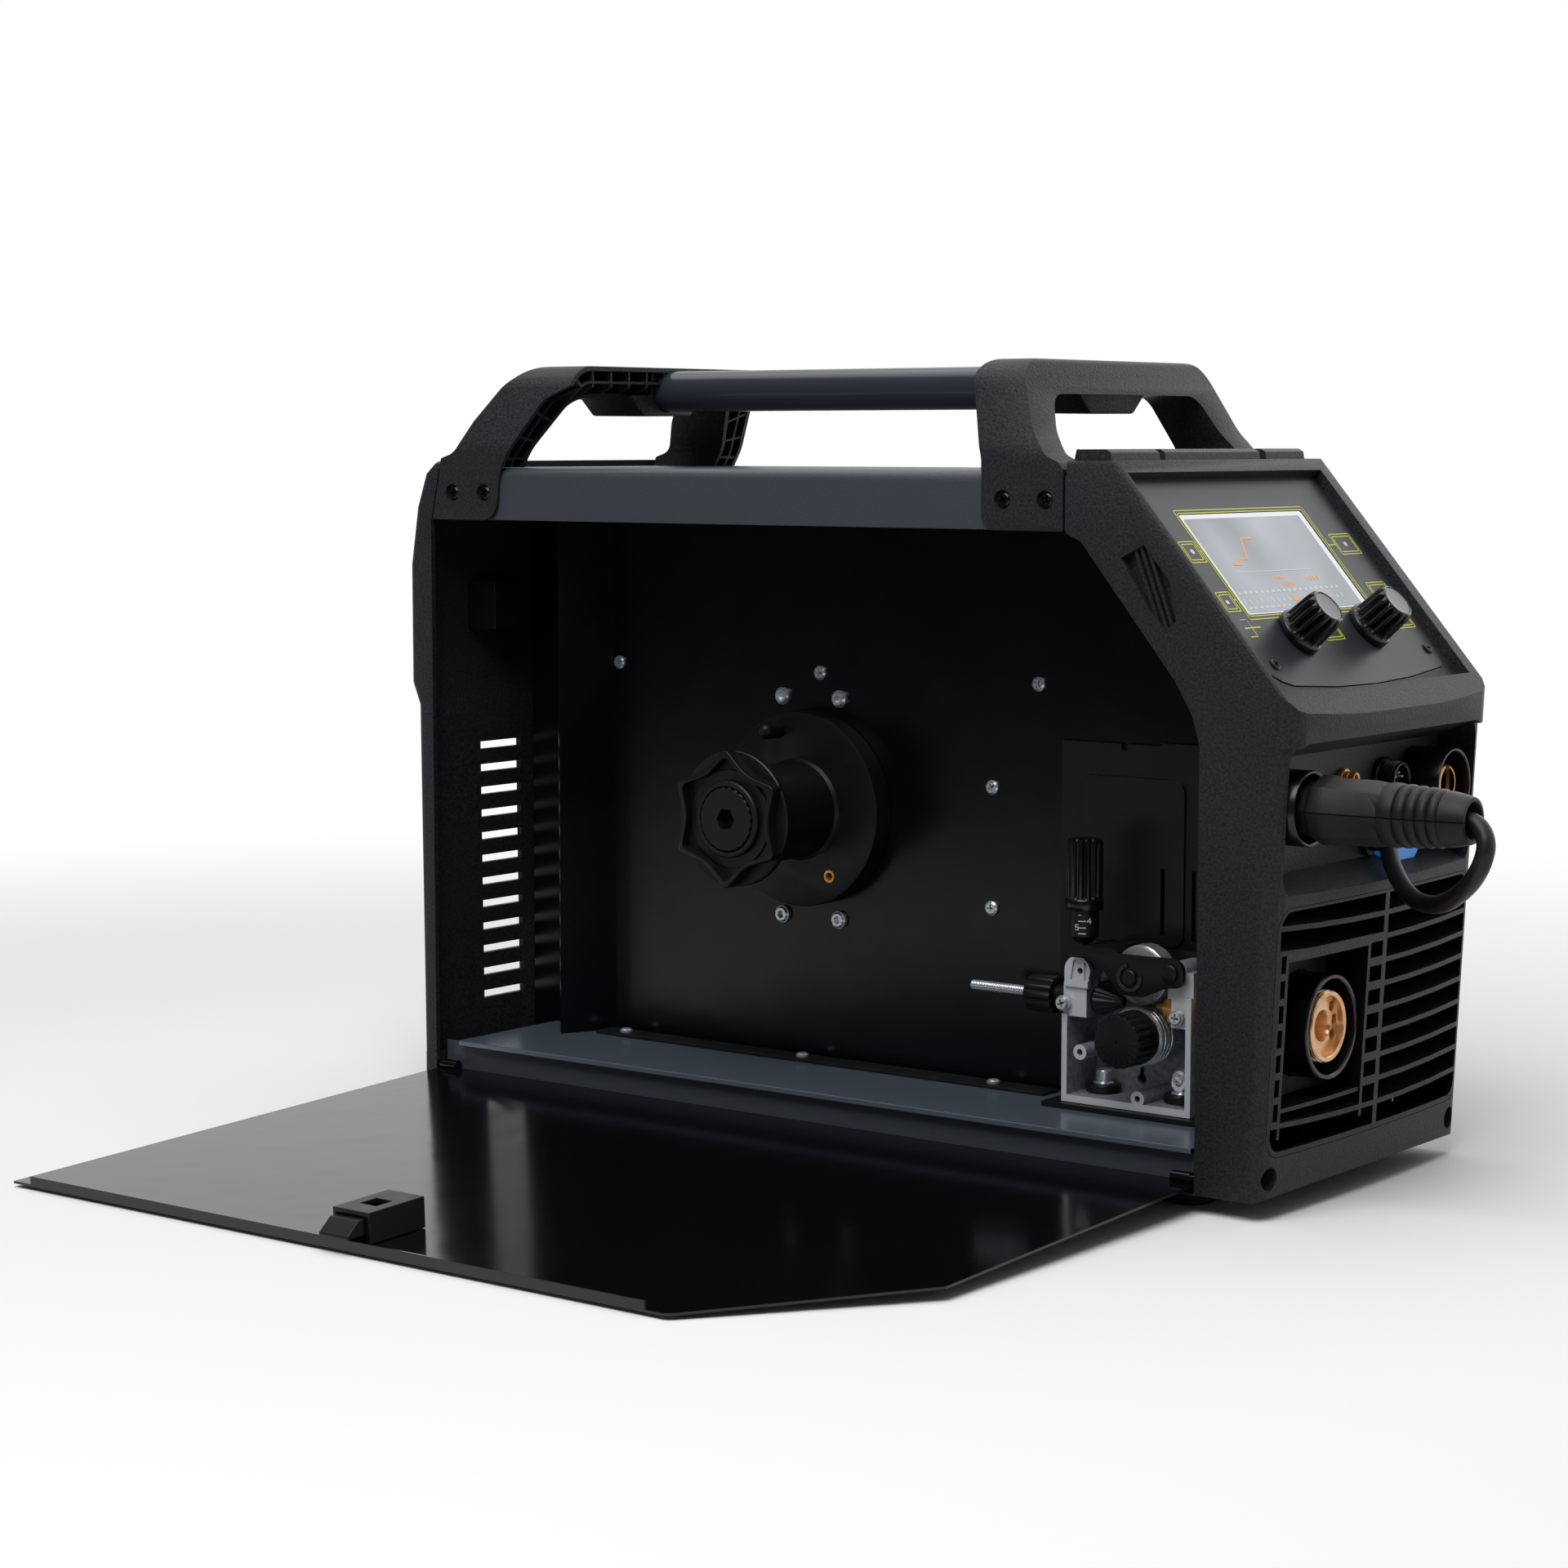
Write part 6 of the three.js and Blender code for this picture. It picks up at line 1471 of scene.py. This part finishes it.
    def tensioner(self):
        """Grooved knob, collar and the sleeve with its printed scale."""
        foot = at(TENSION_X, TENSION_Y, 0)
        turned_node("tension_knob", foot, UP, [
            (2.7, 142), (7.3, 142), (7.3, 126.7), (9.0, 126.7), (9.2, 127), (9.2, 131.4), (8.9, 131.9),
            (8.6, 132.2, 0), (8.75, 133, 1), (8.75, 158.4, 1), (8.2, 160.3, 0.6), (7.2, 161, 0), (6.6, 160.6),
            (2.7, 160.6), (2.7, 142)], "gloss", 168, 35, 14, 1.5)
        turned_node("tension_sleeve", foot, UP, [
            (2.7, 110.9), (4, 110.9), (7, 113.9), (7, 132.7), (6.7, 133), (2.7, 133), (2.7, 110.9)],
            "satin", 64)
        self.scale()

    def scale(self):
        """White marks and plain numbers printed on the sleeve."""
        points, faces = [], []
        per_degree = 0.1222

        def stroke(a0, z0, a1, z1, width=0.42):
            """One printed stroke between two places given as degrees round the sleeve and height."""
            start, end = Vector((a0 * per_degree, z0)), Vector((a1 * per_degree, z1))
            way = (end - start).normalized() * width / 2
            flank = Vector((-way.y, way.x))
            corners = [start - way + flank, end + way + flank, end + way - flank, start - way - flank]
            first = len(points)
            for reach in (7.02, 7.1):
                for corner in corners:
                    turn = math.radians(corner.x / per_degree)
                    points.append(at(TENSION_X + reach * math.sin(turn), TENSION_Y - reach * math.cos(turn),
                                     corner.y))
            for face in ((0, 1, 2, 3), (7, 6, 5, 4), (0, 4, 5, 1), (1, 5, 6, 2), (2, 6, 7, 3), (3, 7, 4, 0)):
                faces.append(tuple(first + k for k in face))

        for level, long_mark in ((124.6, False), (121.6, True), (118.4, True), (115.6, True)):
            for k in range(3 if long_mark else 1):
                stroke(10 + k * 9, level, 19 + k * 9, level)
        four = ((12, 0, 12, 2.4), (12, 2.4, 0, 0.8), (0, 0.8, 16, 0.8))
        five = ((14, 2.4, 2, 2.4), (2, 2.4, 2, 1.3), (2, 1.3, 14, 1.3), (14, 1.3, 14, 0), (14, 0, 1, 0))
        for left, base, strokes in ((44, 120.6, four), (-6, 117.4, five)):
            for a0, z0, a1, z1 in strokes:
                stroke(left + a0, base + z0, left + a1, base + z1, 0.36)
        marks = mesh_from("tension_scale", points, faces, "white_ink")
        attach(marks, frame["nodes"]["tension_sleeve"]["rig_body"])

    def guides(self):
        """Inlet nut and cone, threaded inlet tube and the brass outlet clamp."""
        origin = at(0, WIRE_Y, WIRE_Z)
        turned_node("inlet_guide", origin, CASE_FRONT, [
            (2.8, 153), (7.9, 153), (8.6, 153.3, 0.3), (9.4, 154.2, 1), (9.4, 167.6, 1), (8.8, 168.5, 0.3),
            (5, 168.5), (5, 192.5), (7.5, 192.5), (7.5, 194, 0.6), (2.4, 206, 0.2), (1.8, 206.2),
            (1.0, 206.2), (1.0, 172), (2.8, 172), (2.8, 153)], "satin", 144, 35, 12, 1.3)
        run = [(1.0, 118), (2.2, 118)]
        for i in range(34):
            run += [(2.42, 118.3 + i), (2.55, 118.5 + i), (2.55, 119.0 + i), (2.42, 119.2 + i)]
        run += [(2.4, 152.5), (2.4, 171.5), (1.0, 171.5), (1.0, 118)]
        turned_node("inlet_tube", origin, CASE_FRONT, run, "zinc", 32)
        liner = turned_piece("outlet_guide_eased", origin, CASE_FRONT, [
            (0.9, 225), (1.5, 225), (1.6, 225.3), (1.6, 230), (4.6, 230), (5, 230.4), (5, 236.4),
            (4.6, 236.7), (4, 236.7), (4, 249.5), (0.9, 249.5), (0.9, 225)], "brass", 48)
        clamp = eased(prism("outlet_clamp", [(53.2, 76.6), (57.6, 76.6), (57.6, 90.4), (53.2, 88.2)], "x",
                            232.6, 236.6, "brass"), 0.5)
        stands_for(combined(liner, ("UNION", clamp), angle=35), "outlet_guide")

    def fasteners(self):
        """Clamp screws, washers and the bolts that hold the unit down."""
        clamps = ((178.1, 48.2, 81.1), (241.6, 48.2, 80.4), (242.5, 50.5, 51.3))
        screws("clamp_screws", [(at(*place), DOOR_SIDE) for place in clamps], "chassis", 3.7, 3.0, "zinc",
               "cross", 1.0, 1.5)
        low = BASE_PLATE_TOP
        for i, (x, y) in enumerate(BOLT_PLACES):
            turned_node(f"isolating_washer_{i + 1}", at(x, y, 0), UP, [
                (3.2, low), (8, low), (8.5, low + 0.5), (8.5, low + 3.4), (7.9, low + 4), (3.2, low + 4),
                (3.2, low)], "satin", 64)
            flange = turned_piece(f"hold_down_flange_{i + 1}", at(x, y, 0), UP, [
                (0, low + 4), (5.2, low + 4), (5.2, low + 4.5), (3.9, low + 5), (3.9, low + 10.2),
                (3.5, low + 10.7), (0, low + 10.7)], "zinc", 48)
            hexagon = round_bar("hexagon", "z", x, y, 2.4, low + 7, low + 12, "zinc", 6)
            bolt = combined(flange, ("DIFFERENCE", hexagon), edge=0.2)
            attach(bolt, "chassis")


class WIREFEEDER_OT_door(bpy.types.Operator):
    """Side door and its latch"""

    bl_idname = "wirefeeder.door"
    bl_label = "Door"

    def execute(self, context):
        dressed("door", "enamel", 0.3)
        dressed("latch_housing", "satin", 0.4)
        dressed("latch_bolt", "satin", 0.4)
        return {"FINISHED"}


class WIREFEEDER_OT_rear(bpy.types.Operator):
    """Fan, switch, gland and gas inlet at the rear"""

    bl_idname = "wirefeeder.rear"
    bl_label = "Rear"

    def execute(self, context):
        for name, material, edge in (
                ("fan_frame", "satin", 0.4), ("fan_rotor", "satin", 0.3), ("mains_switch", "satin", 0.4),
                ("switch_rocker", "gloss", 0.4), ("mains_gland", "satin", 0.4), ("gas_inlet", "brass", 0.2)):
            dressed(name, material, edge)
        return {"FINISHED"}


class WIREFEEDER_OT_screws(bpy.types.Operator):
    """Fasteners that show"""

    bl_idname = "wirefeeder.screws"
    bl_label = "Screws"

    def execute(self, context):
        radius = context.scene.wire_feeder_case.screw_radius * 1000
        handle = []
        for x, z in HANDLE_SCREWS:
            handle.append((at(x, 2.2, z), DOOR_SIDE))
            handle.append((at(x, CASE_WIDTH - 2.2, z), FAR_SIDE))
        screws("handle_screws", handle, "chassis", radius, 1.7, "gloss", "cross", 1.0, 1.2)
        wall = [(at(x, 82, z), DOOR_SIDE) for x, z in (
            (-130.2, 231.6), (5.65, 231.6), (140.5, 231.6), (113.3, 178.8), (113.3, 118))]
        screws("wall_screws", wall, "chassis", 3.6, 2.0)
        hub = [(at(x, 82, HUB_Z + z), DOOR_SIDE) for x in (-18.4, 18.4) for z in (-57.4, 57.4)]
        screws("hub_bolts", hub, "chassis", 4.4, 3.2, recess="hexagon", width=2.2, depth=2.0)
        strip = [(at(x, 71, 31.8), UP) for x in (-118, 2, 122)]
        screws("strip_screws", strip, "chassis", 3.4, 1.8)
        panel = [(on_slope(down, y), SLOPE_NORMAL) for down, y in ((115.8, 22.8), (115.7, 171.6))]
        screws("panel_screws", panel, "chassis", 2.9, 1.2, "satin")
        foot = [(at(305.2, y, 19.5), CASE_FRONT) for y in (9, CASE_WIDTH - 10)]
        screws("bezel_screws", foot, "chassis", 3.6, 2.2)
        return {"FINISHED"}


class WIREFEEDER_PT_panel(bpy.types.Panel):
    """Lists the pieces of the wire feeder"""

    bl_idname = "WIREFEEDER_PT_panel"
    bl_label = "Wire feeder"
    bl_space_type = "VIEW_3D"
    bl_region_type = "UI"
    bl_category = "Wire feeder"

    def draw(self, context):
        scene = context.scene
        for group in (scene.wire_feeder_case, scene.wire_feeder_cable, scene.wire_feeder_stage):
            for key in group.bl_rna.properties.keys():
                if key not in ("rna_type", "name"):
                    self.layout.prop(group, key)
        for operator in PIECES:
            self.layout.operator(operator.bl_idname)


PIECES = (
    WIREFEEDER_OT_camera,
    WIREFEEDER_OT_cable,
    WIREFEEDER_OT_stage,
    WIREFEEDER_OT_case,
    WIREFEEDER_OT_handle,
    WIREFEEDER_OT_front,
    WIREFEEDER_OT_control_panel,
    WIREFEEDER_OT_hub,
    WIREFEEDER_OT_feed_unit,
    WIREFEEDER_OT_door,
    WIREFEEDER_OT_rear,
    WIREFEEDER_OT_screws,
)
CLASSES = (CaseFinish, CableSizes, StageSettings) + PIECES + (WIREFEEDER_PT_panel,)


def register():
    for item in CLASSES:
        bpy.utils.register_class(item)
    bpy.types.Scene.wire_feeder_case = PointerProperty(type=CaseFinish)
    bpy.types.Scene.wire_feeder_cable = PointerProperty(type=CableSizes)
    bpy.types.Scene.wire_feeder_stage = PointerProperty(type=StageSettings)


def unregister():
    del bpy.types.Scene.wire_feeder_case
    del bpy.types.Scene.wire_feeder_cable
    del bpy.types.Scene.wire_feeder_stage
    for item in reversed(CLASSES):
        bpy.utils.unregister_class(item)


def main():
    register()
    for operator in PIECES:
        group, name = operator.bl_idname.split(".")
        getattr(getattr(bpy.ops, group), name)()


if __name__ == "__main__":
    main()
